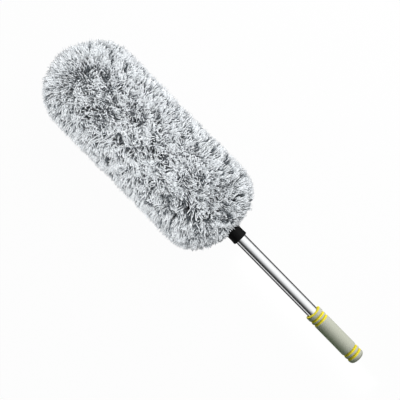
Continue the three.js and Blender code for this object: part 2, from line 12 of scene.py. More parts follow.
import bpy
import numpy as np
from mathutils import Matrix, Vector


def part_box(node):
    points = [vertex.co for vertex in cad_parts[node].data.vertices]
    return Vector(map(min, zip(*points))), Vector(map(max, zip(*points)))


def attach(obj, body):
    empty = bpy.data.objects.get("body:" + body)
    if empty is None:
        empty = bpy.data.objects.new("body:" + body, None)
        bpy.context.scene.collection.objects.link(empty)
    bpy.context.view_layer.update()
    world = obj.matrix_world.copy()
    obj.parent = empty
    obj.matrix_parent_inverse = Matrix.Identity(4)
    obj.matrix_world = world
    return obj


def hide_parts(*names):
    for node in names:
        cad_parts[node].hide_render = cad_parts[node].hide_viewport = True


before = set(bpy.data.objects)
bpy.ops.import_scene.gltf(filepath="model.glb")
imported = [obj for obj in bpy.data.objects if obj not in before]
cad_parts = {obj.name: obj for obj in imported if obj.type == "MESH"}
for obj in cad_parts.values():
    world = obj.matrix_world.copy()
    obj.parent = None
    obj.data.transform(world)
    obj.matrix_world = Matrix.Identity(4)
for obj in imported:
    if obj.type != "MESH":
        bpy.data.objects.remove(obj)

log = logging.getLogger("car_duster")

Colour = tuple[float, float, float]
Place = tuple[float, float, float]
Range = tuple[float, float]
Array = np.ndarray
Chance = np.random.Generator
Piece = bpy.types.Object
Pieces = dict[str, Piece]
Material = bpy.types.Material
Socket = bpy.types.NodeSocket

BAKE_MAP = "OFBake"
ROUND_SEGMENTS = 128
FILLET_POINTS = 7
FLAT_SHARE = 0.12
NO_RADIUS = 1e-9

# Height of the pole's centre line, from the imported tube.
AXIS = sum(corner.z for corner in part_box("outer_tube")) / 2

# Steps of an even sequence in the plane: one over the plastic number, and over its square.
EVEN_STEPS = (0.7548776662466927, 0.5698402909980532)

# Sockets of a Mix node that blends colours.
MIX_SHARE, MIX_FIRST, MIX_SECOND, MIX_RESULT = 0, 6, 7, 2


class Body(Enum):
    """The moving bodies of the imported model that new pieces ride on."""

    HANDLE = "handle"
    HEAD = "head"


class Slot(Enum):
    """Names of the record's material slots."""

    POLISHED_STEEL = "polished_steel"
    BLACK_PLASTIC = "black_plastic"
    GREY_FOAM = "grey_foam"
    YELLOW_FOAM = "yellow_foam"
    PILE = "pile"
    HEM_TAPE = "hem_tape"
    ELASTIC = "elastic"


class Half(Enum):
    """The two panels of the pile cover, by the sign of their side of the pole."""

    UPPER = 1.0
    LOWER = -1.0


# Curves


def unit(vectors: Array) -> Array:
    """Rows of length one."""
    return vectors / np.linalg.norm(vectors, axis=-1, keepdims=True)


def smooth_step(share: Array) -> Array:
    """The curve 3 t^2 - 2 t^3 of a share, held to 0 and 1 outside them."""
    t = np.clip(share, 0.0, 1.0)
    return t * t * (3 - 2 * t)


def superellipse(angle: Array, power: float) -> tuple[Array, Array]:
    """Point of the curve |y|^p + |z|^p = 1 that belongs to an angle."""
    c, s = np.cos(angle), np.sin(angle)
    return np.sign(c) * np.abs(c) ** (2 / power), np.sign(s) * np.abs(s) ** (2 / power)


def rounded_loop(corners: list[Place]) -> Array:
    """A closed outline of (station, radius) points with its corners rounded.

    A corner C with fillet f becomes the curve (1-t)^2 A + 2t(1-t) C + t^2 B, with A and B on the
    sides before and after C, f away from it. One more point on each side keeps the sides flat.

    Args:
        corners: station, radius and fillet of each corner.

    Returns:
        The outline, one point per row.
    """
    table = np.array(corners, dtype=float)
    here, fillet = table[:, :2], table[:, 2:]
    ends = []
    for way in (1, -1):
        side = np.roll(here, way, axis=0) - here
        length = np.linalg.norm(side, axis=1, keepdims=True)
        spare = FLAT_SHARE * (length - fillet - np.roll(fillet, way, axis=0))
        foot = here + side / length * fillet
        ends.append((foot, foot + side / length * spare))
    (first, lead), (last, trail) = ends
    t = np.linspace(0.0, 1.0, FILLET_POINTS)[None, :, None]
    curve = (1 - t) ** 2 * first[:, None] + 2 * t * (1 - t) * here[:, None] + t**2 * last[:, None]
    return np.concatenate([lead[:, None], curve, trail[:, None]], axis=1).reshape(-1, 2)


def ring_section(span: Range, bore: float, radius: float, fillet: float) -> Array:
    """Outline of a plain ring round the pole, with rounded outer edges and nearly sharp inner ones.

    Args:
        span: where the ring starts and ends along the pole.
        bore: inner radius.
        radius: outer radius.
        fillet: rounding of the outer edges.

    Returns:
        The outline, one (x, r) per row.
    """
    start, end = span
    inner = min(fillet, (radius - bore) / 3) / 3
    return rounded_loop(
        [(start, bore, inner), (end, bore, inner), (end, radius, fillet), (start, radius, fillet)]
    )


# Meshes


def new_piece(name: str, points: Array, faces: list[Array]) -> Piece:
    """Puts a worked-out surface into a smooth-shaded mesh object at the origin.

    Args:
        name: name of the new piece.
        points: vertex places, one row each.
        faces: arrays of vertex numbers, one row per face, each array with its own count of corners.

    Returns:
        The new object, linked into the scene.
    """
    used, corners = np.unique(np.concatenate([f.ravel() for f in faces]), return_inverse=True)
    counts = np.concatenate([np.full(len(f), f.shape[1]) for f in faces])
    starts = np.concatenate([[0], np.cumsum(counts)[:-1]])
    mesh = bpy.data.meshes.new(name)
    mesh.vertices.add(len(used))
    mesh.vertices.foreach_set("co", points[used].astype(np.float32).ravel())
    mesh.loops.add(len(corners))
    mesh.loops.foreach_set("vertex_index", corners.astype(np.int32))
    mesh.polygons.add(len(counts))
    mesh.polygons.foreach_set("loop_start", starts.astype(np.int32))
    mesh.update(calc_edges=True)
    mesh.shade_smooth()
    piece = bpy.data.objects.new(name, mesh)
    bpy.context.scene.collection.objects.link(piece)
    return piece


def grid_faces(rows: int, columns: int, wrapped: bool) -> Array:
    """Four-cornered faces of a grid of points.

    Args:
        rows: rows of the grid.
        columns: points in each row.
        wrapped: whether the last row joins the first, and the last column the first one.

    Returns:
        Vertex numbers, one face per row, turning from rows towards columns.
    """
    i = np.arange(rows if wrapped else rows - 1)[:, None]
    j = np.arange(columns if wrapped else columns - 1)[None, :]
    down, along = (i + 1) % rows, (j + 1) % columns
    quads = [i * columns + j, i * columns + along, down * columns + along, down * columns + j]
    return np.stack(np.broadcast_arrays(*quads), axis=-1).reshape(-1, 4)


def lathe(name: str, outline: Array) -> Piece:
    """Turns a closed outline round the pole.

    Point (x, r) of the outline at angle a goes to (x, r cos a, AXIS + r sin a). Points of no radius
    are one vertex each, so the poles are closed.

    Args:
        name: name of the new piece.
        outline: closed outline, one (x, r) per row.

    Returns:
        The new piece.
    """
    x, r = outline[:, 0], outline[:, 1]
    if np.sum(x * np.roll(r, -1) - np.roll(x, -1) * r) < 0:
        x, r = x[::-1], r[::-1]
    angle = np.linspace(0.0, math.tau, ROUND_SEGMENTS, endpoint=False)
    along = np.repeat(x[:, None], ROUND_SEGMENTS, axis=1)
    across, up = r[:, None] * np.cos(angle), AXIS + r[:, None] * np.sin(angle)
    points = np.stack([along, across, up], axis=-1).reshape(-1, 3)
    quads = grid_faces(len(x), ROUND_SEGMENTS, True)
    on_axis = r < NO_RADIUS
    row = quads // ROUND_SEGMENTS
    first, second = on_axis[row[:, 0]], on_axis[row[:, 2]]
    quads = np.where(on_axis[row], row * ROUND_SEGMENTS, quads)
    plain, from_pole, to_pole = ~first & ~second, first & ~second, ~first & second
    faces = [quads[plain], quads[from_pole][:, [0, 2, 3]], quads[to_pole][:, [0, 1, 2]]]
    return new_piece(name, points, [f for f in faces if len(f)])


def settle(piece: Piece, material: Material, body: Body, node: str) -> None:
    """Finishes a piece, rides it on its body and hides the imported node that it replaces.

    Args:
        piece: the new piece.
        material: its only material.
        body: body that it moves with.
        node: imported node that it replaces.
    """
    coat(piece, material)
    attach(piece, body.value)
    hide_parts(node)
    log.info("%s: %d faces on %s", piece.name, len(piece.data.polygons), body.value)


def coat(piece: Piece, material: Material) -> None:
    """Gives a piece one material in place of any it has."""
    piece.data.materials.clear()
    piece.data.materials.append(material)


# Finishes


class Graph:
    """A node tree under construction."""

    def __init__(self, tree: bpy.types.NodeTree) -> None:
        """Starts with an empty tree."""
        self.tree = tree
        self.tree.nodes.clear()

    def feed(self, target: Socket, value: object) -> None:
        """Links a socket to an input, or sets a constant there.

        Args:
            target: the input.
            value: socket to link from, or constant to set.
        """
        if isinstance(value, Socket):
            self.tree.links.new(value, target)
        else:
            target.default_value = value

    def node(self, kind: str, **inputs: object) -> bpy.types.Node:
        """Adds a node and feeds its inputs.

        Args:
            kind: node type.
            inputs: values or sockets by input name, with underscores for spaces.

        Returns:
            The new node.
        """
        made = self.tree.nodes.new(kind)
        for name, value in inputs.items():
            self.feed(made.inputs[name.replace("_", " ")], value)
        return made

    def maths(self, rule: str, *values: object) -> Socket:
        """One Math node.

        Args:
            rule: its operation.
            values: its values or sockets, in order.

        Returns:
            Socket of the result.
        """
        made = self.node("ShaderNodeMath")
        made.operation = rule
        for socket, value in zip(made.inputs, values):
            self.feed(socket, value)
        return made.outputs["Value"]


class Shader(Graph):
    """One node material under construction, round a Principled shader."""

    def __init__(self, name: str) -> None:
        """Starts a material with a Principled shader on its output."""
        self.material = bpy.data.materials.new(name)
        self.material.use_nodes = True
        super().__init__(self.material.node_tree)
        self.surface = self.node("ShaderNodeBsdfPrincipled")
        self.output = self.node("ShaderNodeOutputMaterial", Surface=self.surface.outputs["BSDF"])

    def set(self, **values: object) -> None:
        """Feeds inputs of the Principled shader by name, with underscores for spaces."""
        for name, value in values.items():
            self.feed(self.surface.inputs[name.replace("_", " ")], value)

    def place(self, stretch: Place = (1.0, 1.0, 1.0)) -> Socket:
        """Object coordinates, multiplied by a stretch along each axis.

        Args:
            stretch: factor along each axis.

        Returns:
            Socket of the stretched place.
        """
        coordinates = self.node("ShaderNodeTexCoord")
        mapping = self.node("ShaderNodeMapping", Vector=coordinates.outputs["Object"], Scale=stretch)
        return mapping.outputs["Vector"]

    def noise(self, where: Socket, scale: float, detail: float = 2.0) -> Socket:
        """Noise from 0 to 1 at a place."""
        return self.node("ShaderNodeTexNoise", Vector=where, Scale=scale, Detail=detail).outputs["Fac"]

    def cells(self, where: Socket, scale: float) -> Socket:
        """Distance to the nearest of scattered cell centres."""
        return self.node("ShaderNodeTexVoronoi", Vector=where, Scale=scale).outputs["Distance"]

    def spread(self, value: Socket, reach: Range) -> Socket:
        """A value from 0 to 1, carried over to a range."""
        made = self.node("ShaderNodeMapRange", Value=value, To_Min=reach[0], To_Max=reach[1])
        return made.outputs["Result"]

    def step(self, value: Socket, reach: Range) -> Socket:
        """A smooth step over a range.

        Args:
            value: socket to read.
            reach: the value that gives 0, and the value that gives 1.

        Returns:
            Socket of the result.
        """
        made = self.node("ShaderNodeMapRange", Value=value, From_Min=reach[0], From_Max=reach[1])
        made.interpolation_type = "SMOOTHSTEP"
        return made.outputs["Result"]

    def blend(self, share: Socket, first: Socket | Colour, second: Socket | Colour) -> Socket:
        """A mix of two colours.

        Args:
            share: 0 for the first colour, up to 1 for the second.
            first: colour or colour socket.
            second: colour or colour socket.

        Returns:
            Socket of the mixed colour.
        """
        made = self.node("ShaderNodeMix")
        made.data_type = "RGBA"
        self.feed(made.inputs[MIX_SHARE], share)
        for index, value in ((MIX_FIRST, first), (MIX_SECOND, second)):
            self.feed(made.inputs[index], value if isinstance(value, Socket) else (*value, 1.0))
        return made.outputs[MIX_RESULT]

    def bump(self, height: Socket, strength: float, depth: float) -> None:
        """Raises the surface by a height, depth metres at most."""
        made = self.node("ShaderNodeBump", Height=height, Strength=strength, Distance=depth)
        self.set(Normal=made.outputs["Normal"])


@dataclass(frozen=True)
class Steel:
    """Bright or plain steel with fine polishing marks round the pole."""

    name: str
    colour: Colour
    roughness: Range
    mark_depth: float
    mark_stretch: Place = (1.0, 0.04, 0.04)
    mark_scale: float = 2600.0
    mark_strength: float = 0.12
    cloud_scale: float = 22.0
    cloud_shade: float = 0.93

    def material(self) -> Material:
        """Metal whose colour and roughness vary with fine rings and a faint wide cloud.

        Returns:
            The new material.
        """
        shader = Shader(self.name)
        rings = shader.noise(shader.place(self.mark_stretch), self.mark_scale, detail=3.0)
        cloud = shader.noise(shader.place(), self.cloud_scale)
        dark = tuple(self.cloud_shade * part for part in self.colour)
        shader.set(
            Base_Color=shader.blend(cloud, dark, self.colour),
            Roughness=shader.spread(shader.maths("MULTIPLY", rings, cloud), self.roughness),
            Metallic=1.0,
        )
        shader.bump(rings, self.mark_strength, self.mark_depth)
        return shader.material


@dataclass(frozen=True)
class MouldedPlastic:
    """Moulded plastic with a fine spark grain."""

    name: str
    colour: Colour
    worn: Colour
    roughness: Range
    grain: float = 2600.0
    grain_depth: float = 0.00004
    gloss: float = 0.4
    grain_strength: float = 0.35
    cloud_scale: float = 45.0
    cloud_step: Range = (0.35, 0.75)

    def material(self) -> Material:
        """Plastic with grain in its bump, and a slow change of colour and roughness.

        Returns:
            The new material.
        """
        shader = Shader(self.name)
        where = shader.place()
        cloud = shader.noise(where, self.cloud_scale, detail=3.0)
        shader.set(
            Base_Color=shader.blend(shader.step(cloud, self.cloud_step), self.colour, self.worn),
            Roughness=shader.spread(cloud, self.roughness),
            Specular_IOR_Level=self.gloss,
        )
        shader.bump(shader.noise(where, self.grain), self.grain_strength, self.grain_depth)
        return shader.material


@dataclass(frozen=True)
class Foam:
    """Closed-cell foam with a skin of fine cells."""

    name: str
    colour: Colour
    # Darker colour for the random mottle, and for the painted shade in the pits.
    shade: Colour
    cell: float = 2600.0
    cell_depth: float = 0.00003
    cell_strength: float = 0.12
    coarse: float = 650.0
    coarse_height: float = 0.3
    mottle: float = 60.0
    mottle_shade: Range = (-0.1, 0.35)
    pit: Range = (0.55, 0.15)
    pit_patch: Range = (0.35, 0.7)
    # How much darker the pits are: painted shade in the low cells of the bump.
    pit_painted_shade: float = 0.2
    roughness: Range = (0.78, 0.95)
    gloss: float = 0.2

    def material(self) -> Material:
        """Matte foam: two sizes of cells in the bump, with painted shade in the pits and a faint mottle.

        Returns:
            The new material.
        """
        shader = Shader(self.name)
        where = shader.place()
        fine = shader.cells(where, self.cell)
        coarse = shader.noise(where, self.coarse, detail=3.0)
        mottle = shader.noise(where, self.mottle, detail=4.0)
        # Darker colour in the low cell pits of the bump: painted shade.
        pits = shader.maths("MULTIPLY", shader.step(fine, self.pit), shader.step(coarse, self.pit_patch))
        painted_pit_shade = shader.maths("MULTIPLY", pits, self.pit_painted_shade)
        share = shader.maths("ADD", painted_pit_shade, shader.spread(mottle, self.mottle_shade))
        shader.set(
            Base_Color=shader.blend(share, self.colour, self.shade),
            Roughness=shader.spread(coarse, self.roughness),
            Specular_IOR_Level=self.gloss,
        )
        height = shader.maths("ADD", fine, shader.maths("MULTIPLY", coarse, self.coarse_height))
        shader.bump(height, self.cell_strength, self.cell_depth)
        return shader.material


@dataclass(frozen=True)
class Fibre:
    """Soft microfibre, dark at its root and pale at its tip.

    The strand's own map gives the colour: across it a shade for each strand, along it root to tip.
    """

    name: str
    root: Colour
    tip: Colour
    grey_tip: Colour
    pale_from: float
    shade_shift: float
    softness: float
    roughness: float = 0.8
    gloss: float = 0.25
    sheen: float = 0.25
    sheen_roughness: float = 0.5

    def material(self) -> Material:
        """Sheen fibre whose pale part starts further out on the strands of a darker shade.

        Returns:
            The new material.
        """
        shader = Shader(self.name)
        chart = shader.node("ShaderNodeUVMap")
        chart.uv_map = BAKE_MAP
        parts = shader.node("ShaderNodeSeparateXYZ", Vector=chart.outputs["UV"])
        shade, along = parts.outputs["X"], parts.outputs["Y"]
        start = shader.maths("MULTIPLY_ADD", shade, self.shade_shift, self.pale_from)
        past = shader.maths("SUBTRACT", along, start)
        pale = shader.step(past, (-self.softness, self.softness))
        tip = shader.blend(shade, self.tip, self.grey_tip)
        shader.set(
            Base_Color=shader.blend(pale, self.root, tip),
            Roughness=self.roughness,
            Specular_IOR_Level=self.gloss,
            Sheen_Weight=self.sheen,
            Sheen_Roughness=self.sheen_roughness,
        )
        return shader.material


@dataclass(frozen=True)
class Cloth:
    """Woven or knitted cloth with a thread pattern round and along the pole."""

    name: str
    colour: Colour
    shade: Colour
    thread: float
    thread_depth: float
    thread_strength: float = 0.5
    fuzz: float = 900.0
    roughness: float = 0.9
    gloss: float = 0.15
    sheen: float = 0.2

    def material(self) -> Material:
        """Cloth whose threads cross as two sets of bands, with fuzz between them.

        Returns:
            The new material.
        """
        shader = Shader(self.name)
        bands = []
        for way in ("X", "Y"):
            wave = shader.node("ShaderNodeTexWave", Vector=shader.place(), Scale=self.thread)
            wave.bands_direction = way
            bands.append(wave.outputs["Fac"])
        weave = shader.maths("MULTIPLY", *bands)
        fuzz = shader.noise(shader.place(), self.fuzz, detail=3.0)
        share = shader.maths("MULTIPLY", shader.maths("SUBTRACT", 1.0, weave), fuzz)
        shader.set(
            Base_Color=shader.blend(share, self.colour, self.shade),
            Roughness=self.roughness,
            Specular_IOR_Level=self.gloss,
            Sheen_Weight=self.sheen,
        )
        shader.bump(shader.maths("ADD", weave, fuzz), self.thread_strength, self.thread_depth)
        return shader.material


# Grip, pole and neck


@dataclass
class FoamGrip:
    """The two-colour foam grip: grey bands round a yellow core that shows in four grooves and a lip."""

    skin: float = 0.0014
    end_wall: float = 0.0047
    end_round: float = 0.0070
    band_round: float = 0.0008
    edge_round: float = 0.0002
    seat_gap: float = 0.0003
    lip_length: float = 0.0018
    lip_round: float = 0.0013
    lip_back_round: float = 0.0004
    lip_bore_round: float = 0.0006
    mouth_set_back: float = 0.0011
    mouth_dip: float = 0.0011
    groove_edge: float = 0.0003
    groove_depth: float = 0.0016
    groove_steps: int = 15
    bands: tuple[str, ...] = (
        "grip_end_cup",
        "grip_rear_ring",
        "grip_sleeve",
        "grip_front_ring",
        "grip_front_band",
    )

    def build(self) -> Pieces:
        """Makes the grip's pieces from the boxes of their nodes.

        Returns:
            The pieces by node name.
        """
        cup, *rings = self.bands
        made = {cup: self.end_cup()}
        for node in rings:
            low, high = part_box(node)
            end = self.lip_start() if node == self.bands[-1] else high.x
            outline = ring_section((low.x, end), high.y - self.skin, high.y, self.band_round)
            made[node] = lathe(node + "_foam", outline)
        made["grip_core"] = self.core()
        for node in (self.bands[-1], "grip_core"):
            self.saddle(made[node])
        return made

    def lip_start(self) -> float:
        """Place along the pole where the grey skin ends and the yellow lip of the mouth starts."""
        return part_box("grip_core")[1].x - self.mouth_set_back - self.lip_length

    def saddle(self, piece: Piece) -> None:
        """Bends the mouth back above and below the tube: x falls by dip * share * sin(angle)^2.

        The share rises from 0 where the front band starts to 1 where the lip starts.

        Args:
            piece: piece that reaches the mouth.
        """
        points = np.empty(3 * len(piece.data.vertices), dtype=np.float32)
        piece.data.vertices.foreach_get("co", points)
        points = points.reshape(-1, 3)
        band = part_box(self.bands[-1])[0].x
        share = smooth_step((points[:, 0] - band) / (self.lip_start() - band))
        angle = np.arctan2(points[:, 2] - AXIS, points[:, 1])
        points[:, 0] -= self.mouth_dip * share * np.sin(angle) ** 2
        piece.data.vertices.foreach_set("co", points.ravel())
        piece.data.update()

    def end_cup(self) -> Piece:
        """The closed end: a cup with a well rounded rim, turned as a solid.

        Returns:
            The new piece.
        """
        low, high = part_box("grip_end_cup")
        floor, radius = low.x + self.end_wall, high.y
        outline = rounded_loop(
            [
                (low.x, 0.0, 0.0),
                (floor, 0.0, 0.0),
                (floor, radius - self.skin, self.edge_round),
                (high.x, radius - self.skin, self.edge_round),
                (high.x, radius, self.band_round),
                (low.x, radius, self.end_round),
            ]
        )
        return lathe("grip_end_cup_foam", outline)

    def groove_floor(self, from_x: float, to_x: float, radius: float) -> Array:
        """Outline of the yellow in one groove: r = radius - edge - (depth - edge) cos(pi u / 2)^2.

        Args:
            from_x: start of the groove.
            to_x: end of the groove.
            radius: radius of the grey bands beside it.

        Returns:
            Points (x, r) for u from -1 to 1.
        """
        u = np.linspace(-1.0, 1.0, self.groove_steps)
        middle = (from_x + to_x) / 2
        half = (to_x - from_x - self.seat_gap) / 2
        drop = self.groove_edge + (self.groove_depth - self.groove_edge) * np.cos(math.pi * u / 2) ** 2
        return np.stack([middle + half * u, radius - drop], axis=1)

    def core(self) -> Piece:
        """The yellow core: a sleeve on the tube, with a rib in each groove and a round lip in front.

        Returns:
            The new piece.
        """
        low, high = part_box("grip_core")
        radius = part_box("grip_sleeve")[1].y
        body = radius - self.skin - self.seat_gap
        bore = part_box("outer_tube")[1].y + self.seat_gap
        outside = [np.array([[low.x, bore], [low.x, body]])]
        for before, after in zip(self.bands, self.bands[1:]):
            floor = self.groove_floor(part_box(before)[1].x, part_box(after)[0].x, radius)
            foot = np.array([[floor[0, 0], body], [floor[-1, 0], body]])
            outside += [foot[:1], floor, foot[1:]]
        start = self.lip_start()
        front = start + self.lip_length
        lip = rounded_loop(
            [
                (start, body, 0.0),
                (start, high.y, self.lip_back_round),
                (front, high.y, self.lip_round),
                (front, bore, self.lip_bore_round),
            ]
        )
        return lathe("grip_core_foam", np.concatenate([*outside, lip]))

    def dress(self, made: Pieces, grey: Foam, yellow: Foam) -> None:
        """Finishes the grip.

        Args:
            made: pieces by node name.
            grey: foam of the bands.
            yellow: foam of the core.
        """
        skin, heart = grey.material(), yellow.material()
        for node, piece in made.items():
            if node == "grip_core":
                settle(piece, heart, Body.HANDLE, node)
            else:
                settle(piece, skin, Body.HANDLE, node)


@dataclass
class Pole:
    """The two steel tubes and the bush in the mouth of the outer one."""

    wall: float = 0.0008
    rim: float = 0.0003
    flange: float = 0.002
    flange_round: float = 0.0006
    liner_round: float = 0.0001
    bush_gap: float = 0.00015

    def build(self) -> Pieces:
        """Makes the tubes and the bush from the boxes of their nodes.

        Returns:
            The pieces by node name.
        """
        made = {}
        for node in ("outer_tube", "inner_tube"):
            low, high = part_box(node)
            outline = ring_section((low.x, high.x), high.y - self.wall, high.y, self.rim)
            made[node] = lathe(node + "_steel", outline)
        made["mouth_bush"] = self.bush()
        return made

    def bush(self) -> Piece:
        """The bush: a liner between the tubes, and a flange with soft edges on the outer tube's rim.

        Returns:
            The new piece.
        """
        low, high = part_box("mouth_bush")
        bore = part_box("inner_tube")[1].y + self.bush_gap
        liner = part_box("outer_tube")[1].y - self.wall - self.bush_gap
        seat = high.x - self.flange
        outline = rounded_loop(
            [
                (low.x, bore, self.liner_round),
                (high.x, bore, self.rim),
                (high.x, high.y, self.flange_round),
                (seat, high.y, self.rim),
                (seat, liner, self.liner_round),
                (low.x, liner, self.liner_round),
            ]
        )
        return lathe("mouth_bush_plastic", outline)

    def dress(self, made: Pieces, steel: Steel, plastic: MouldedPlastic) -> None:
        """Finishes the tubes and the bush.

        Args:
            made: pieces by node name.
            steel: finish of the tubes.
            plastic: finish of the bush.
        """
        bright = steel.material()
        for node, body in (("outer_tube", Body.HANDLE), ("inner_tube", Body.HEAD)):
            settle(made[node], bright, body, node)
        settle(made["mouth_bush"], plastic.material(), Body.HANDLE, "mouth_bush")


@dataclass
class Neck:
    """The black collar, and the hem of the pile cover with the elastic that draws it in."""

    lip_round: float = 0.0022
    lip_steps: int = 8
    waist: float = 0.0129
    waist_end: float = 0.019
    waist_power: float = 0.8
    waist_steps: int = 40
    tube_gap: float = 0.0003
    socket_bore: float = 0.0113
    socket_step: float = 0.007
    mouth_bevel: float = 0.0006
    hem_thickness: float = 0.0011
    hem_round: float = 0.0004
    elastic_ribs: int = 90
    rib_points: int = 6
    rib_swell: float = 0.03
    cord_points: int = 16

    def build(self) -> Pieces:
        """Makes the collar, hem and elastic.

        Returns:
            The pieces by node name.
        """
        return {"neck_collar": self.collar(), "hem_band": self.hem(), "hem_elastic": self.elastic()}

    def collar(self) -> Piece:
        """The collar: a round lip, then a waist on the curve r = R - (R - w) sin(pi t)^p, and its bore.

        Returns:
            The new piece.
        """
        low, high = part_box("neck_collar")
        radius = high.y
        start = low.x + self.lip_round
        turn = np.linspace(0.0, math.pi / 2, self.lip_steps, endpoint=False)
        lip_x = start - self.lip_round * np.cos(turn)
        lip_r = radius - self.lip_round + self.lip_round * np.sin(turn)
        t = np.linspace(0.0, 1.0, self.waist_steps)
        side_x = start + (low.x + self.waist_end - start) * t
        side_r = radius - (radius - self.waist) * np.sin(math.pi * t) ** self.waist_power
        step = low.x + self.socket_step
        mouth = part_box("outer_tube")[1].y + self.tube_gap
        bore = np.array(
            [
                (high.x, radius),
                (high.x, self.socket_bore),
                (step, self.socket_bore),
                (step, mouth),
                (low.x + self.mouth_bevel, mouth),
                (low.x, mouth + self.mouth_bevel),
            ]
        )
        outside = np.concatenate([np.stack([lip_x, lip_r], axis=1), np.stack([side_x, side_r], axis=1)])
        return lathe("neck_collar_plastic", np.concatenate([outside, bore]))

    def hem(self) -> Piece:
        """The tape hem: a thin ring with rolled edges.

        Returns:
            The new piece.
        """
        low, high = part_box("hem_band")
        outline = ring_section((low.x, high.x), high.y - self.hem_thickness, high.y, self.hem_round)
        return lathe("hem_tape_ring", outline)

    def elastic(self) -> Piece:
        """The elastic: a ring of round section whose thickness ripples with its covering thread.

        Returns:
            The new piece.
        """
        low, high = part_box("hem_elastic")
        thick = (high.x - low.x) / 2
        centre = (low.x + high.x) / 2
        along = np.linspace(0.0, math.tau, self.rib_points * self.elastic_ribs, endpoint=False)[:, None]
        round_it = np.linspace(0.0, math.tau, self.cord_points, endpoint=False)[None, :]
        ripple = np.cos(self.elastic_ribs * along + 2 * round_it)
        swell = thick * (1 - self.rib_swell + self.rib_swell * ripple)
        reach = high.y - thick + swell * np.cos(round_it)
        x, y = centre + swell * np.sin(round_it), reach * np.cos(along)
        points = np.stack([x, y, AXIS + reach * np.sin(along)], axis=-1).reshape(-1, 3)
        faces = grid_faces(along.size, round_it.size, True)[:, ::-1]
        return new_piece("hem_elastic_cord", points, [faces])

    def dress(self, made: Pieces, plastic: MouldedPlastic, tape: Cloth, cord: Cloth) -> None:
        """Finishes the collar, hem and elastic.

        Args:
            made: pieces by node name.
            plastic: finish of the collar.
            tape: finish of the hem.
            cord: finish of the elastic.
        """
        for node, finish, slot in (
            ("neck_collar", plastic, Slot.BLACK_PLASTIC),
            ("hem_band", tape, Slot.HEM_TAPE),
            ("hem_elastic", cord, Slot.ELASTIC),
        ):
            settle(made[node], finish.material(), Body.HEAD, node)


# Pile


@dataclass(frozen=True)
class WaveField:
    """A smooth random field in space: the sum of sine waves of about one length."""

    seed: int
    length: float
    weight: float
    waves: int = 24
    stretch: Range = (0.7, 1.4)

    def at(self, points: Array) -> Array:
        """Value of the field, with a spread of about its weight.

        The value is weight times the sum of sin(k.p + phase) over the root of half the count of waves.

        Args:
            points: places, one row each.

        Returns:
            One value for each place.
        """
        chance = np.random.default_rng(self.seed)
        ways = unit(chance.normal(size=(self.waves, 3)))
        lengths = self.length * chance.uniform(*self.stretch, self.waves)
        phases = chance.uniform(0.0, math.tau, self.waves)
        angles = points @ (ways * (math.tau / lengths)[:, None]).T + phases
        return self.weight * (np.sin(angles).sum(axis=1) / math.sqrt(self.waves / 2))


@dataclass(frozen=True)
class Sway:
    """A smooth random vector in space, from three wave fields."""

    seed: int
    length: float
    weight: float

    def at(self, points: Array) -> Array:
        """Vector at each place, one row each."""
        fields = [WaveField(self.seed + i, self.length, self.weight) for i in range(3)]
        return np.stack([field.at(points) for field in fields], axis=1)


@dataclass(frozen=True)
class Parting:
    """A parting on the upper side, where strands are darker: partly dark strands, partly painted shade."""

    x: float
    y: float
    reach: float
    depth: float


@dataclass(frozen=True)
class Mottle:
    """Patches of three sizes where the pile stands open or closed, and the partings among them."""

    patches: tuple[WaveField, ...] = (
        WaveField(71, 0.030, 0.3),
        WaveField(81, 0.018, 1.1),
        WaveField(91, 0.009, 0.6),
    )
    partings: tuple[Parting, ...] = (
        Parting(0.293, 0.010, 0.028, 0.6),
        Parting(0.295, 0.003, 0.013, 1.6),
        Parting(0.276, 0.021, 0.012, 1.9),
        Parting(0.266, 0.000, 0.009, 1.8),
        Parting(0.261, -0.032, 0.014, 1.8),
        Parting(0.231, -0.013, 0.015, 2.2),
        Parting(0.211, 0.028, 0.016, 2.0),
        Parting(0.166, -0.025, 0.015, 1.8),
        Parting(0.045, -0.025, 0.014, 2.0),
        Parting(0.040, 0.043, 0.016, 2.2),
        Parting(0.007, 0.031, 0.014, 1.4),
        Parting(-0.027, -0.010, 0.018, 2.2),
        Parting(-0.028, 0.046, 0.017, 1.8),
    )

    def openness(self, tip: Array) -> Array:
        """How far the pile stands open at each tip.

        It is the sum of the patches' fields and of depth * exp(-(d / reach)^2) for each parting, where
        d is the distance from its middle in plan. The under side has the same partings, mirrored.

        Args:
            tip: places of the tips.

        Returns:
            One value for each tip, about 0 on average and 1 or more where the pile is open.
        """
        side = np.where(tip[:, 2] > AXIS, 1.0, -1.0)
        total = sum(patch.at(tip) for patch in self.patches)
        for parting in self.partings:
            off = np.hypot(tip[:, 0] - parting.x, tip[:, 1] * side - parting.y)
            total = total + parting.depth * np.exp(-((off / parting.reach) ** 2))
        return total


@dataclass
class Stand:
    """Where the strands stand, one row per strand.

    near and far are 1 at that end of the head, and at_collar is 1 beside the collar, down to 0 away
    from them. gap is 1 between two tufts of the collar's fringe, down to 0 in the middle of one.
    rise is the upward part of the strand's way out.
    """

    near: Array
    far: Array
    at_collar: Array
    tuft: Array
    gap: Array
    rise: Array
    openness: Array


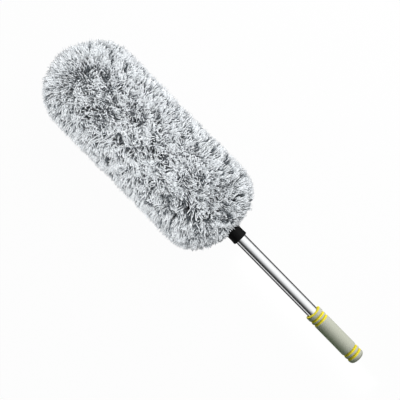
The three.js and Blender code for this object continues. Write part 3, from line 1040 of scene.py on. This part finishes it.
@dataclass(frozen=True)
class Tufts:
    """The tufts that the strands beside the collar are drawn into, as its fringe."""

    count: int = 28
    pull: float = 0.6
    gap_from: float = 0.18
    gap_fade: float = 0.2
    calm: float = 0.6
    open_between: float = 1.6
    closed_inside: float = 0.2

    def gather(self, tip: Array, at_collar: Array) -> tuple[Array, Array, Array]:
        """Draws the tips beside the collar together into tufts.

        A tip turns round the pole by a share of the angle to the middle of its tuft.

        Args:
            tip: places of the tips.
            at_collar: 1 for the tips at the collar, down to 0 away from it.

        Returns:
            The new places, the number of each tip's tuft, and 1 for a tip that grows between two
            tufts, down to 0 in the middle of one.
        """
        y, z = tip[:, 1], tip[:, 2] - AXIS
        angle = np.arctan2(z, y)
        step = math.tau / self.count
        tuft = np.round(angle / step)
        turn = (tuft * step - angle) * self.pull * at_collar
        c, s = np.cos(turn), np.sin(turn)
        moved = np.stack([tip[:, 0], c * y - s * z, AXIS + s * y + c * z], axis=1)
        gap = smooth_step((np.abs(angle / step - tuft) - self.gap_from) / self.gap_fade)
        return moved, tuft.astype(int) % self.count, gap

    def part(self, openness: Array, at_collar: Array, gap: Array) -> Array:
        """Openness that, at the collar, is low inside each tuft and high between two of them."""
        # Between tufts the higher openness makes strands darker: partly dark strands, partly painted shade
        # of the gaps.
        fringe = at_collar * (self.open_between * gap - self.closed_inside)
        return openness * (1 - self.calm * at_collar) + fringe


@dataclass(frozen=True)
class ShadeMix:
    """The mix of dark and white strands, with shades from 0 for the whitest to 1 for the darkest."""

    open_from: float = -0.1
    open_span: float = 1.7
    flank_depth: float = 0.80
    dark_share: float = 0.13
    # More dark strands on the flanks: painted shade of the light that falls there at a slant.
    painted_shade_on_flanks: float = 0.50
    # More dark strands where the pile is open: partly its own dark strands, partly painted shade.
    dark_strands_and_shade_in_open: float = 0.66
    dark: float = 0.61
    darker_on_flats: float = 0.08
    # Darker dark strands where the pile is open: painted shade.
    darker_as_painted_shade: float = 0.18
    white: float = 0.12
    # Greyer white strands where the pile is open: painted shade.
    greyer_as_painted_shade: float = 0.36
    scatter: float = 0.10
    limits: Range = (0.02, 0.98)
    end_shade: float = 0.48
    end_calm: float = 0.25

    def depth(self, openness: Array) -> Array:
        """Share from 0 where the pile is closed to 1 where it stands wide open."""
        return smooth_step((openness - self.open_from) / self.open_span)

    def pick(self, stand: Stand, chance: Chance) -> Array:
        """Shade of each strand.

        Dark strands stand among white ones. More of them stand on the flanks of the head as painted
        shade of the light that falls there at a slant; its flats, the collar and the far end don't count
        as flanks. Where the pile is open there are more dark strands, partly its own dark strands and
        partly painted shade, and there the dark ones turn darker and the white ones grey as painted
        shade. Round both ends every shade is drawn a little towards grey.

        Args:
            stand: where the strands stand.
            chance: random source.

        Returns:
            One shade for each strand.
        """
        flat = np.maximum(np.abs(stand.rise), np.maximum(stand.at_collar, stand.far))
        deep = self.depth(stand.openness) * (self.flank_depth + (1 - self.flank_depth) * flat)
        # The flank term is painted shade; the open term is partly dark strands, partly painted shade.
        share = self.dark_share + self.painted_shade_on_flanks * (1 - flat) + self.dark_strands_and_shade_in_open * deep
        is_dark = chance.uniform(size=len(deep)) < share
        # Darker dark strands and greyer white ones where the pile is open: painted shade.
        dark = self.dark + self.darker_on_flats * flat + self.darker_as_painted_shade * deep
        middle = np.where(is_dark, dark, self.white + self.greyer_as_painted_shade * deep)
        shade = np.clip(middle + chance.normal(0.0, self.scatter, len(deep)), *self.limits)
        return shade + self.end_calm * np.maximum(stand.near, stand.far) * (self.end_shade - shade)


@dataclass(frozen=True)
class Flow:
    """Which way the strands lean and are combed, as shares of their length."""

    sways: tuple[Sway, ...] = (Sway(31, 0.036, 0.14), Sway(51, 0.016, 0.28))
    own_sway: float = 0.08
    rim_lean: float = 0.42
    flat_lean: float = 0.73
    comb_mean: float = 0.38
    comb_across: float = 0.36
    comb_along: float = 0.60
    near_fade: float = 1.1
    far_fade: float = 0.9
    flat_fade: float = 0.5

    def lean(self, tip: Array, out: Array, chance: Chance) -> Array:
        """Sideways lean of each strand.

        It is the sum of the sways and a little chance of its own, square to the strand. It grows with
        the square of the strand's rise, so the pile is loose on the flat sides of the head and combed
        straight round its rim.

        Args:
            tip: places of the tips.
            out: way of each strand from its root to its tip.
            chance: random source.

        Returns:
            One vector for each strand.
        """
        total = sum(sway.at(tip) for sway in self.sways)
        total = total + chance.normal(0.0, self.own_sway, tip.shape)
        total = total - out * np.sum(total * out, axis=1, keepdims=True)
        return total * (self.rim_lean + self.flat_lean * out[:, 2:] ** 2)

    def comb(self, q: Array, along: Array, across: Array, rise: Array) -> Array:
        """How far the outer part of each strand is combed along the pole, as a slope.

        It is a steady slope, with more on the side of +Y than on the other, and more towards the far
        end. It fades out round both ends of the head, and is less steep on its flat sides.

        Args:
            q: place of each strand along the cover.
            along: place along the head, from -1 to 1.
            across: place across the head, from -1 to 1.
            rise: upward part of the strand's way out.

        Returns:
            One slope for each strand.
        """
        slope = self.comb_mean + self.comb_across * across + self.comb_along * along
        fade = smooth_step(q / self.near_fade) * smooth_step((3 - q) / self.far_fade)
        return slope * fade * (1 - self.flat_fade * rise**2)


@dataclass(frozen=True)
class Trim:
    """How the strands are cut, as shares of the way from the cloth to the envelope."""

    full: float = 1.012
    near_cut: float = 0.02
    dark_cut: float = 0.04
    cover_cut: float = 0.10
    cover_from: float = 0.40
    cover_span: float = 0.35
    cover_in_open: float = 0.8
    cover_at_near: float = 0.6
    uneven: Range = (-0.07, 0.01)
    uneven_at_ends: float = 0.5
    stray_share: float = 0.12
    stray: float = 0.035
    stray_at_near: float = 0.7
    tuft_cut: float = 0.13
    gap_cut: float = 0.10
    fringe_cut: float = 0.08
    hollow: float = 0.03
    hollow_most: float = 2.5

    def share(self, stand: Stand, shade: Array, depth: Array, tufts: int, chance: Chance) -> Array:
        """Length of each strand as a share of its full one.

        The cut is uneven, with stray tips, less so at the near end and more so at the far end. Dark
        strands are shorter, so white ones cover them where the pile is closed. The fringe of the
        collar is cut tuft by tuft, and the pile is a little hollow where it stands open.

        Args:
            stand: where the strands stand.
            shade: shade of each strand.
            depth: 0 where the pile is closed, up to 1 where it stands wide open.
            tufts: count of tufts round the collar.
            chance: random source.

        Returns:
            One share for each strand.
        """
        near, far, count = stand.near, stand.far, len(shade)
        fringe = chance.uniform(0.0, self.tuft_cut, tufts)[stand.tuft] + self.gap_cut * stand.gap
        fringe = stand.at_collar * (fringe + chance.uniform(0.0, self.fringe_cut, count))
        is_stray = chance.uniform(size=count) < self.stray_share
        stray = np.where(is_stray, self.stray * (1 + far - self.stray_at_near * near), 0.0)
        loose = 1 + self.uneven_at_ends * far - self.uneven_at_ends * near
        uneven = chance.uniform(*self.uneven, count) * loose + stray
        cover = self.cover_cut * (1 - self.cover_in_open * depth) * (1 - self.cover_at_near * near)
        cover = cover * smooth_step((shade - self.cover_from) / self.cover_span)
        share = self.full - self.near_cut * near - self.dark_cut * shade - cover + uneven - fringe
        return share * (1.0 - self.hollow * np.clip(stand.openness, 0.0, self.hollow_most) * stand.rise**2)


@dataclass
class Strands:
    """Curves, thickness and shade of some strands, one row per strand."""

    root: Array
    bend: Array
    tip: Array
    roll: Array
    radius: Array
    shade: Array
    side: Array
    order: Array

    def pick(self, rows: Array) -> "Strands":
        """The strands of some rows."""
        return Strands(**{name: table[rows] for name, table in vars(self).items()})


@dataclass
class Panel:
    """The backing cloth of one half of the cover, and the meshes of its strands."""

    backing: Piece
    strands: list[Piece]


@dataclass
class PileCover:
    """The long-pile cover: two panels of backing cloth stretched over the frame, and their strands.

    A place on the cover is (q, angle). q runs from 0 to 1 round the near end, to 2 along the sides
    and to 3 round the far end, and the angle runs round the pole.
    """

    start: float
    end: float
    half_width: float
    half_height: float
    frame_end: float
    frame_half_width: float
    collar_radius: float
    frame_start: float = -0.025
    near_cap: float = 0.052
    far_cap: float = 0.079
    far_slant: float = 0.0060
    slant_fade: float = 0.6
    fringe: float = 0.0062
    fringe_fade: float = 0.4
    power: float = 2.6
    mouth: float = -0.041
    mouth_radius: float = 0.016
    cloth_margin: float = 0.0035
    cloth_half_height: float = 0.0068
    cloth_thickness: float = 0.0012
    cloth_close: float = 0.012
    cloth_end: float = 2.97
    cloth_seam: float = 0.004
    cloth_rows: int = 90
    cloth_columns: int = 48
    cut_size: Range = (0.105, 0.355)
    cut_area: float = 0.0325
    neck_blend: Range = (-0.014, 0.045)
    strands: int = 44000
    strand_scatter: float = 0.6
    along_steps: int = 6001
    round_steps: int = 4001
    strand_radius: float = 0.00108
    strand_spread: Range = (0.75, 1.2)
    strand_rings: Place = (0.0, 0.55, 0.92)
    strand_widths: Place = (0.45, 0.8, 0.8)
    strand_sides: Place = (-0.012, 0.0, 0.012)
    bend_at: float = 0.58
    bend_lean: float = 0.5
    flank_at: float = 1.3
    collar_clear: float = 1.09
    collar_reach: float = 2.5
    collar_fade: float = 1.3
    collar_calm: float = 0.8
    collar_thin: float = 0.25
    collar_gap: float = 0.0005
    floor_gap: float = 0.0004
    near_from: float = 1.2
    near_fade: float = 0.4
    far_from: float = 1.9
    mottle: Mottle = Mottle()
    tufts: Tufts = Tufts()
    mix: ShadeMix = ShadeMix()
    flow: Flow = Flow()
    trim: Trim = Trim()
    seed: int = 11

    @classmethod
    def fitted(
        cls, collar_shown: float = 0.0185, tip_short: float = 0.002, side_proud: float = 0.0012
    ) -> "PileCover":
        """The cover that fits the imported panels, frame and collar.

        Args:
            collar_shown: length of the collar in front of the envelope.
            tip_short: how far the envelope stops before the panels' tip.
            side_proud: how far the envelope stands past the panels' sides.

        Returns:
            The cover.
        """
        collar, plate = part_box("neck_collar"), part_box("head_frame")[1]
        upper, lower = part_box("pile_panel_upper"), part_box("pile_panel_lower")
        return cls(
            start=collar[0].x + collar_shown,
            end=upper[1].x - tip_short,
            half_width=upper[1].y + side_proud,
            half_height=(upper[1].z - lower[0].z) / 2,
            frame_end=plate.x,
            frame_half_width=plate.y,
            collar_radius=collar[1].y,
        )

    def outer(self, q: Array, angle: Array) -> Array:
        """Place on the envelope of the tips.

        The sections are superellipses, full along the sides, that shrink on a quarter ellipse at
        each end: share = sin(pi q / 2) at the near end and cos(pi (q - 2) / 2) at the far end. The
        fringe reaches further over the collar, and the far end slants back on the side of -Y.

        Args:
            q: place along the cover.
            angle: angle round the pole.

        Returns:
            The place, along the last axis.
        """
        near, side, far = (np.clip(q - i, 0, 1) for i in range(3))
        length = self.end - self.start - self.near_cap - self.far_cap
        x = self.start + self.near_cap * (1 - np.cos(near * math.pi / 2)) + length * side
        x = x + self.far_cap * np.sin(far * math.pi / 2)
        share = np.sin(near * math.pi / 2) * np.cos(far * math.pi / 2)
        y, z = superellipse(angle, self.power)
        slant = smooth_step(-share * y / self.slant_fade)
        x = x - self.fringe * smooth_step(1 - near / self.fringe_fade)
        x = x - self.far_slant * np.sin(far * math.pi / 2) * slant
        y, z = share * self.half_width * y, AXIS + share * self.half_height * z
        return np.stack([x, y, z], axis=-1)

    def plate_span(self) -> Range:
        """Where the straight sides of the frame's plate start and end along the pole."""
        return self.frame_start + self.frame_half_width, self.frame_end - self.frame_half_width

    def cloth_size(self, x: Array) -> tuple[Array, Array]:
        """Half width and half height of the backing cloth at a station.

        The width follows the half-round ends of the frame, and runs into the round mouth at the neck.
        The height falls from the neck to the flat of the frame, and closes on a quarter ellipse.

        Args:
            x: stations along the pole.

        Returns:
            Half widths and half heights.
        """
        radius = self.frame_half_width + self.cloth_margin
        near, far = self.plate_span()
        off = np.maximum(np.maximum(near - x, x - far), 0.0)
        plate = np.sqrt(np.maximum(radius**2 - off**2, 0.0))
        neck = np.where(x < near, self.mouth_radius, 0.0)
        width = (plate**4 + neck**4) ** 0.25
        low, high = self.neck_blend
        fall = smooth_step((x - low) / (high - low))
        height = self.mouth_radius + (self.cloth_half_height - self.mouth_radius) * fall
        close = np.clip((x - far - radius + self.cloth_close) / self.cloth_close, 0.0, 1.0)
        return width, height * np.sqrt(1 - close**2)

    def root(self, q: Array, angle: Array) -> Array:
        """Place on the backing cloth where the strand of a place on the envelope is rooted.

        Args:
            q: place along the cover.
            angle: angle round the pole.

        Returns:
            The place, along the last axis.
        """
        near, side, far = (np.clip(q - i, 0, 1) for i in range(3))
        first, last = self.plate_span()
        x = self.mouth + (first - self.mouth) * (1 - np.cos(near * math.pi / 2))
        x = x + (last - first) * side
        x = x + (self.frame_half_width + self.cloth_margin) * np.sin(far * math.pi / 2)
        width, height = self.cloth_size(x)
        y, z = superellipse(angle, self.power)
        return np.stack([x, width * y, AXIS + height * z], axis=-1)

    def spread(self, chance: Chance) -> tuple[Array, Array]:
        """Places spread evenly over the envelope.

        Two shares follow an additive sequence that fills the square evenly. Running sums of area
        along the head, and of length round its section, turn the shares into q and angle.

        Args:
            chance: random source for the scatter about the even places.

        Returns:
            q and angle of each strand.
        """
        count = np.arange(self.strands)
        scatter = self.strand_scatter / math.sqrt(self.strands)
        first, second = (
            (0.5 + count * step + chance.normal(0, scatter, count.size)) % 1.0 for step in EVEN_STEPS
        )
        q = np.linspace(0.0, 3.0, self.along_steps)
        ridge = self.outer(q, np.zeros_like(q))
        step = np.linalg.norm(np.diff(ridge, axis=0), axis=1)
        reach = np.abs(ridge[:, 1])
        area = np.concatenate([[0.0], np.cumsum(step * (reach[1:] + reach[:-1]))])
        angle = np.linspace(0.0, math.tau, self.round_steps)
        y, z = superellipse(angle, self.power)
        length = np.hypot(np.diff(y) * self.half_width, np.diff(z) * self.half_height)
        round_it = np.concatenate([[0.0], np.cumsum(length)])
        return np.interp(first * area[-1], area, q), np.interp(second * round_it[-1], round_it, angle)

    def grow(self) -> Strands:
        """Works out every strand.

        A strand leaves the cloth straight out, bends towards the lean of its place and is combed
        along the pole. Those that would grow through the collar are left out. How open the pile is
        at the leaned tip sets the shade and the cut.

        Returns:
            All strands of the cover.
        """
        chance = np.random.default_rng(self.seed)
        q, angle = self.spread(chance)
        tip, root = self.outer(q, angle), self.root(q, angle)
        reach = np.hypot(tip[:, 1], tip[:, 2] - AXIS) / self.collar_radius
        bare = (q >= 1) | (reach > self.collar_clear)
        q, angle, tip, root, reach = (table[bare] for table in (q, angle, tip, root, reach))
        at_collar = np.where(q < 1, smooth_step((self.collar_reach - reach) / self.collar_fade), 0.0)
        tip, tuft, gap = self.tufts.gather(tip, at_collar)
        out, length = unit(tip - root), np.linalg.norm(tip - root, axis=1, keepdims=True)
        lean = self.flow.lean(tip, out, chance) * (1 - self.collar_calm * at_collar[:, None])
        openness = self.mottle.openness(root + unit(out + lean) * length)
        stand = Stand(
            near=smooth_step((self.near_from - q) / self.near_fade),
            far=smooth_step(q - self.far_from),
            at_collar=at_collar,
            tuft=tuft,
            gap=gap,
            rise=out[:, 2],
            openness=self.tufts.part(openness, at_collar, gap),
        )
        shade = self.mix.pick(stand, chance)
        depth = self.mix.depth(stand.openness)
        length = length * self.trim.share(stand, shade, depth, self.tufts.count, chance)[:, None]
        along = 2 * (tip[:, 0] - self.start) / (self.end - self.start) - 1
        across = np.clip(self.flank_at * tip[:, 1] / self.half_width, -1.0, 1.0)
        slope = self.flow.comb(q, along, across, out[:, 2])
        combed = slope[:, None] * np.array([1.0, 0.0, 0.0])
        straight = unit(out + self.bend_lean * lean) * self.bend_at
        thin = 1 - self.collar_thin * at_collar[:, None]
        return Strands(
            root=root - out * self.cloth_thickness,
            bend=root + (straight + combed * (1 - self.bend_at)) * length,
            tip=root + unit(out + lean) * length,
            roll=unit(chance.normal(size=tip.shape)),
            radius=self.strand_radius * chance.uniform(*self.strand_spread, (len(tip), 1)) * thin,
            shade=shade,
            side=np.where(np.sin(angle) >= 0, Half.UPPER.value, Half.LOWER.value),
            order=q,
        )

    def strand_points(self, grown: Strands) -> tuple[Array, Array]:
        """Vertices of three-sided strands, and their map.

        A strand follows B(v) = (1-v)^2 root + 2v(1-v) bend + v^2 tip, with three rings of three
        points along it and a point at v = 1. The map has the shade across it and v along it.

        Args:
            grown: some strands.

        Returns:
            Points and map, ten rows per strand.
        """
        along = np.array([*self.strand_rings, 1.0])
        v = along[None, :, None]
        root, bend, tip = grown.root[:, None], grown.bend[:, None], grown.tip[:, None]
        centre = (1 - v) ** 2 * root + 2 * v * (1 - v) * bend + v**2 * tip
        forward = unit((1 - v) * (bend - root) + v * (tip - bend))
        side = unit(np.cross(forward, grown.roll[:, None]))
        up = np.cross(forward, side)
        turn = np.arange(3) * math.tau / 3
        spoke = np.cos(turn)[:, None] * side[:, :3, None] + np.sin(turn)[:, None] * up[:, :3, None]
        radius = (grown.radius * np.array(self.strand_widths))[:, :, None, None]
        rings = centre[:, :3, None] + radius * spoke
        points = np.concatenate([rings.reshape(len(root), 9, 3), centre[:, 3:]], axis=1)
        shade = grown.shade[:, None] + np.array([*self.strand_sides * 3, 0.0])
        place = np.repeat(np.append(np.repeat(along[:3], 3), 1.0)[None], len(shade), axis=0)
        return self.clear(points).reshape(-1, 3), np.stack([shade, place], axis=-1).reshape(-1, 2)

    def clear(self, points: Array) -> Array:
        """Keeps strands out of the collar and above the floor that the head lies on.

        Args:
            points: places, along the last axis.

        Returns:
            The places, moved out of the collar and up from the floor where they have to be.
        """
        off = points[..., 1:] - np.array([0.0, AXIS])
        reach = np.linalg.norm(off, axis=-1, keepdims=True)
        least = np.where(points[..., :1] < self.mouth, self.collar_radius + self.collar_gap, 0.0)
        off = off * np.maximum(1.0, least / np.maximum(reach, NO_RADIUS))
        height = np.maximum(off[..., 1:] + AXIS, self.floor_gap)
        return np.concatenate([points[..., :1], off[..., :1], height], axis=-1)

    def strand_piece(self, name: str, grown: Strands) -> Piece:
        """One mesh of strands, each a closed spike of sixteen triangles with its own map.

        Args:
            name: name of the piece.
            grown: its strands.

        Returns:
            The new piece.
        """
        points, chart = self.strand_points(grown)
        base = 10 * np.arange(len(grown.shade))[:, None, None]
        here, beside = np.array([0, 1, 2]), np.array([1, 2, 0])
        band = np.stack([here, beside, beside + 3, here + 3], axis=1)
        ends = np.array([[6, 7, 9], [7, 8, 9], [8, 6, 9], [2, 1, 0]])
        quads = np.concatenate([band, band + 3])
        faces = [(base + quads).reshape(-1, 4), (base + ends).reshape(-1, 3)]
        piece = new_piece(name, points, faces)
        corners = np.concatenate([f.ravel() for f in faces])
        layer = piece.data.uv_layers.new(name=BAKE_MAP)
        layer.data.foreach_set("uv", chart[corners].astype(np.float32).ravel())
        return piece

    def backing(self, half: Half) -> Piece:
        """One panel of backing cloth: the root surface on its side of the pole, with a thickness.

        Args:
            half: which panel.

        Returns:
            The new piece, with its two faces and its edge closed.
        """
        q = np.linspace(0.0, self.cloth_end, self.cloth_rows)[:, None]
        reach = np.linspace(self.cloth_seam, math.pi - self.cloth_seam, self.cloth_columns)
        q, angle = np.broadcast_arrays(q, reach[None, :] * half.value)
        outside = self.root(q, angle)
        middle = outside.copy()
        middle[..., 1:] = (0.0, AXIS)
        inside = outside - unit(outside - middle) * self.cloth_thickness
        sheet = grid_faces(*q.shape, False)
        index = np.arange(q.size).reshape(q.shape)
        rim = np.concatenate([index[0, :-1], index[:-1, -1], index[-1, :0:-1], index[:0:-1, 0]])
        following = np.roll(rim, -1)
        edge = np.stack([rim, rim + q.size, following + q.size, following], axis=1)
        faces = np.concatenate([sheet, sheet[:, ::-1] + q.size, edge])
        if half is Half.LOWER:
            faces = faces[:, ::-1]
        points = np.concatenate([outside.reshape(-1, 3), inside.reshape(-1, 3)])
        return new_piece(f"pile_backing_{half.name.lower()}", points, [faces])

    def build(self, parts: int) -> dict[Half, Panel]:
        """Makes the two backing panels and the strands on them.

        Args:
            parts: meshes that the strands of each panel are split into, along the head.

        Returns:
            The panels.
        """
        grown = self.grow()
        made = {}
        for half in Half:
            mine = np.flatnonzero(grown.side == half.value)
            mine = mine[np.argsort(grown.order[mine], kind="stable")]
            strands = []
            for i, rows in enumerate(np.array_split(mine, parts)):
                name = f"pile_strands_{half.name.lower()}_{i + 1}"
                strands.append(self.strand_piece(name, grown.pick(rows)))
            made[half] = Panel(self.backing(half), strands)
        return made

    def dress(self, made: dict[Half, Panel], fibre: Fibre, cloth: Cloth) -> None:
        """Finishes the cover.

        Args:
            made: the panels.
            fibre: finish of the strands.
            cloth: finish of the backing.
        """
        pile, back = fibre.material(), cloth.material()
        for half, panel in made.items():
            node = f"pile_panel_{half.name.lower()}"
            settle(panel.backing, back, Body.HEAD, node)
            for piece in panel.strands:
                settle(piece, pile, Body.HEAD, node)


# Studio


@dataclass(frozen=True)
class Softbox:
    """A rectangular soft lamp, turned from its place to a point on the pole's centre line."""

    name: str
    place: Place
    aim_x: float
    size: Range
    power: float

    def build(self, pieces: list[Piece], lit: bool = True) -> None:
        """Hangs the lamp.

        Args:
            pieces: the only pieces that it lights, or the only ones that it leaves dark.
            lit: which of the two the pieces are.
        """
        lamp = bpy.data.lights.new(self.name, "AREA")
        lamp.shape = "RECTANGLE"
        lamp.size, lamp.size_y = self.size
        lamp.energy = self.power
        holder = bpy.data.objects.new(self.name, lamp)
        holder.location = self.place
        way = Vector((self.aim_x, 0.0, AXIS)) - Vector(self.place)
        holder.rotation_euler = way.to_track_quat("-Z", "Y").to_euler()
        bpy.context.scene.collection.objects.link(holder)
        group = bpy.data.collections.new(self.name + "_lights")
        for piece in pieces:
            group.objects.link(piece)
        for entry in group.collection_objects:
            entry.light_linking.link_state = "INCLUDE" if lit else "EXCLUDE"
        holder.light_linking.receiver_collection = group


@dataclass(frozen=True)
class Card:
    """A curved card round the pole that shows in gloss alone, for the bands of polished steel.

    A card that isn't for gloss shows to diffuse light alone, to shade or light one side of the grip.
    Angles are degrees from straight up, towards -Y. The card has its first grey up to an angle, and
    from there it changes smoothly to its last grey.
    """

    name: str
    angles: Range
    greys: Range
    radius: float
    span: Range = (-0.42, 0.17)
    plain_to: float | None = None
    for_gloss: bool = True
    tint: Colour = (1.0, 1.0, 1.0)
    points: int = 81

    def build(self) -> None:
        """Makes the card: at angle a, the point (x, -radius sin a, AXIS + radius cos a)."""
        angle = np.linspace(*self.angles, self.points)
        turn = np.radians(angle)
        place = np.stack([-self.radius * np.sin(turn), AXIS + self.radius * np.cos(turn)], axis=1)
        points = np.concatenate([np.insert(place, 0, x, axis=1) for x in self.span])
        card = new_piece(self.name, points, [grid_faces(2, self.points, False)])
        start, end = self.angles
        plain_to = start if self.plain_to is None else self.plain_to
        first, last = self.greys
        greys = first + (last - first) * smooth_step((angle - plain_to) / (end - plain_to))
        layer = card.data.attributes.new("grey", "FLOAT", "POINT")
        layer.data.foreach_set("value", np.tile(greys, 2).astype(np.float32))
        shader = Shader(self.name + "_paper")
        grey = shader.node("ShaderNodeAttribute")
        grey.attribute_name = "grey"
        shader.set(
            Base_Color=(0.0, 0.0, 0.0, 1.0),
            Roughness=1.0,
            Specular_IOR_Level=0.0,
            Emission_Color=(*self.tint, 1.0),
            Emission_Strength=grey.outputs["Fac"],
        )
        coat(card, shader.material)
        card.visible_camera = False
        card.visible_glossy = self.for_gloss
        card.visible_diffuse = not self.for_gloss
        card.visible_transmission = False
        card.visible_shadow = False


@dataclass
class Studio:
    """The pale floor, the soft light and the camera over the duster."""

    camera_height: float = 1.06
    camera_x: float = 0.016
    camera_y: float = 0.0031
    camera_turn: float = -134.43
    lens: float = 58.9
    ambient: float = 0.22
    floor_reach: float = 4.0
    floor_drop: float = 0.0002
    floor_paint: Colour = (0.9, 0.9, 0.9)
    floor_bounce: Colour = (0.22, 0.22, 0.22)
    floor_white: float = 0.97
    key: Softbox = Softbox("key_softbox", (0.12, -0.80, 0.58), 0.0, (1.3, 0.8), 8.8)
    grip_lamp: Softbox = Softbox("grip_softbox", (0.32, -0.72, 0.54), -0.27, (1.0, 0.8), 11.2)
    head_lamps: tuple[Softbox, ...] = (
        Softbox("head_top_softbox", (0.145, 0.1, 0.95), 0.145, (0.7, 0.7), 8.7),
        Softbox("head_fill_softbox", (0.145, 0.85, 0.5), 0.145, (0.9, 0.7), 3.4),
    )
    cards: tuple[Card, ...] = (
        Card("card_left", (-80.0, 26.0), (0.04, 1.25), 0.3, plain_to=-53.0),
        Card("card_right", (26.0, 80.0), (1.25, 1.25), 0.3),
        Card("card_low_right", (93.0, 170.0), (0.10, 0.10), 0.045),
        Card("card_low_left", (-170.0, -90.5), (0.08, 0.08), 0.045),
        Card(
            "card_shade",
            (-100.0, -25.0),
            (0.095, 0.095),
            0.1,
            span=(-0.42, -0.15),
            for_gloss=False,
            tint=(0.62, 1.0, 0.45),
        ),
        Card("card_bounce", (-175.0, -125.0), (1.3, 1.3), 0.05, span=(-0.42, -0.1), for_gloss=False),
    )

    def build(self, pile: list[Piece], grip: list[Piece]) -> None:
        """Sets up the whole studio.

        Args:
            pile: the pieces that the two lamps over the head light alone.
            grip: the pieces that the lamp of the grip lights in place of the key lamp.
        """
        bpy.context.scene.view_settings.view_transform = "Standard"
        self.sky()
        self.floor()
        self.key.build(grip, lit=False)
        self.grip_lamp.build(grip)
        for lamp in self.head_lamps:
            lamp.build(pile)
        for card in self.cards:
            card.build()
        self.camera()

    def background_share(self, graph: Graph) -> Socket:
        """One for camera, glossy and transmission rays, and zero for the rest.

        Args:
            graph: node tree that reads it.

        Returns:
            Socket of the share.
        """
        path = graph.node("ShaderNodeLightPath")
        total = path.outputs["Is Camera Ray"]
        for name in ("Is Glossy Ray", "Is Transmission Ray"):
            total = graph.maths("MAXIMUM", total, path.outputs[name])
        return total

    def sky(self) -> None:
        """A white background that lights the object at a lower, even level."""
        world = bpy.data.worlds.new("studio_white")
        bpy.context.scene.world = world
        world.use_nodes = True
        graph = Graph(world.node_tree)
        level = graph.node("ShaderNodeMapRange", Value=self.background_share(graph), To_Min=self.ambient)
        white = graph.node("ShaderNodeBackground", Color=(1.0, 1.0, 1.0, 1.0))
        graph.feed(white.inputs["Strength"], level.outputs["Result"])
        graph.node("ShaderNodeOutputWorld", Surface=white.outputs["Background"])

    def floor(self) -> None:
        """A pale floor, mostly white to the camera, that still takes the duster's shadow."""
        reach = np.array([-self.floor_reach, self.floor_reach])
        x, y = np.meshgrid(reach, reach, indexing="ij")
        points = np.stack([x, y, np.full_like(x, -self.floor_drop)], axis=-1).reshape(-1, 3)
        floor = new_piece("studio_floor", points, [np.array([[0, 2, 3, 1]])])
        shader = Shader("studio_floor_paint")
        bounced = shader.node("ShaderNodeLightPath").outputs["Is Diffuse Ray"]
        shader.set(
            Base_Color=shader.blend(bounced, self.floor_paint, self.floor_bounce),
            Roughness=0.9,
            Specular_IOR_Level=0.0,
        )
        glow = shader.node("ShaderNodeEmission", Strength=1.0)
        mix = shader.node("ShaderNodeMixShader")
        white = shader.maths("MULTIPLY", self.background_share(shader), self.floor_white)
        for socket, source in zip(mix.inputs, (white, shader.surface.outputs["BSDF"], glow.outputs[0])):
            shader.feed(socket, source)
        shader.feed(shader.output.inputs["Surface"], mix.outputs["Shader"])
        coat(floor, shader.material)

    def camera(self) -> None:
        """The camera, straight over the duster and turned to the photograph's slant."""
        lens = bpy.data.cameras.new("camera")
        lens.lens = self.lens
        holder = bpy.data.objects.new("camera", lens)
        holder.location = (self.camera_x, self.camera_y, AXIS + self.camera_height)
        holder.rotation_euler = (0.0, 0.0, math.radians(self.camera_turn))
        bpy.context.scene.collection.objects.link(holder)
        bpy.context.scene.camera = holder


# Duster


def dress_nodes() -> None:
    """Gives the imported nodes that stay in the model, inside the pole and the head, their finishes."""
    nylon = MouldedPlastic(
        "nylon_natural", (0.85, 0.84, 0.80), (0.80, 0.78, 0.72), (0.36, 0.50), grain=2400.0
    )
    black = MouldedPlastic("plug_black", (0.012, 0.012, 0.013), (0.02, 0.02, 0.021), (0.44, 0.58))
    grey = MouldedPlastic(
        "frame_grey",
        (0.35, 0.37, 0.39),
        (0.30, 0.32, 0.34),
        (0.49, 0.63),
        grain=1800.0,
        grain_depth=0.00006,
    )
    screws = Steel("screw_steel", (0.60, 0.61, 0.63), (0.22, 0.42), mark_depth=0.00003)
    for finish, nodes in (
        (nylon, ("lock_plug", "expander_sleeve", "cone_nut")),
        (black, ("tube_end_plug",)),
        (grey, ("head_frame",)),
        (screws, ("lock_screw", "stop_nut", "neck_screw")),
    ):
        material = finish.material()
        for node in nodes:
            coat(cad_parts[node], material)


def main() -> None:
    """Builds and dresses the duster and its studio, in order."""
    logging.basicConfig(level=logging.INFO, format="%(name)s: %(message)s")
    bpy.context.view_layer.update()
    black = MouldedPlastic(
        "collar_black",
        (0.010, 0.0105, 0.0105),
        (0.013, 0.0136, 0.0136),
        (0.24, 0.38),
        grain_depth=0.00003,
        gloss=0.035,
    )

    grip = FoamGrip()
    foam = grip.build()
    grip.dress(
        foam,
        Foam("grip_grey_foam", (0.68, 0.70, 0.585), (0.64, 0.66, 0.545)),
        Foam("grip_yellow_foam", (0.95, 0.82, 0.05), (0.92, 0.77, 0.04)),
    )
    pole = Pole()
    chrome = Steel("tube_chrome", (0.78, 0.79, 0.80), (0.10, 0.24), mark_depth=0.00002)
    pole.dress(pole.build(), chrome, black)
    neck = Neck()
    neck.dress(
        neck.build(),
        black,
        Cloth("hem_tape_weave", (0.55, 0.56, 0.58), (0.30, 0.31, 0.33), thread=500.0, thread_depth=0.0002),
        Cloth("elastic_weave", (0.90, 0.90, 0.89), (0.62, 0.62, 0.62), thread=500.0, thread_depth=0.0001),
    )
    knit = Cloth(
        "pile_backing_knit", (0.11, 0.12, 0.13), (0.05, 0.055, 0.06), thread=350.0, thread_depth=0.0003
    )
    cover = PileCover.fitted()
    panels = cover.build(parts=3)
    cover.dress(
        panels,
        Fibre(
            "pile_microfibre",
            root=(0.069, 0.085, 0.098),
            tip=(0.85, 0.874, 0.893),
            grey_tip=(0.495, 0.526, 0.555),
            pale_from=0.54,
            shade_shift=0.52,
            softness=0.10,
        ),
        knit,
    )
    dress_nodes()
    pile = [piece for panel in panels.values() for piece in (panel.backing, *panel.strands)]
    Studio().build(pile, list(foam.values()))


if __name__ == "__main__":
    main()
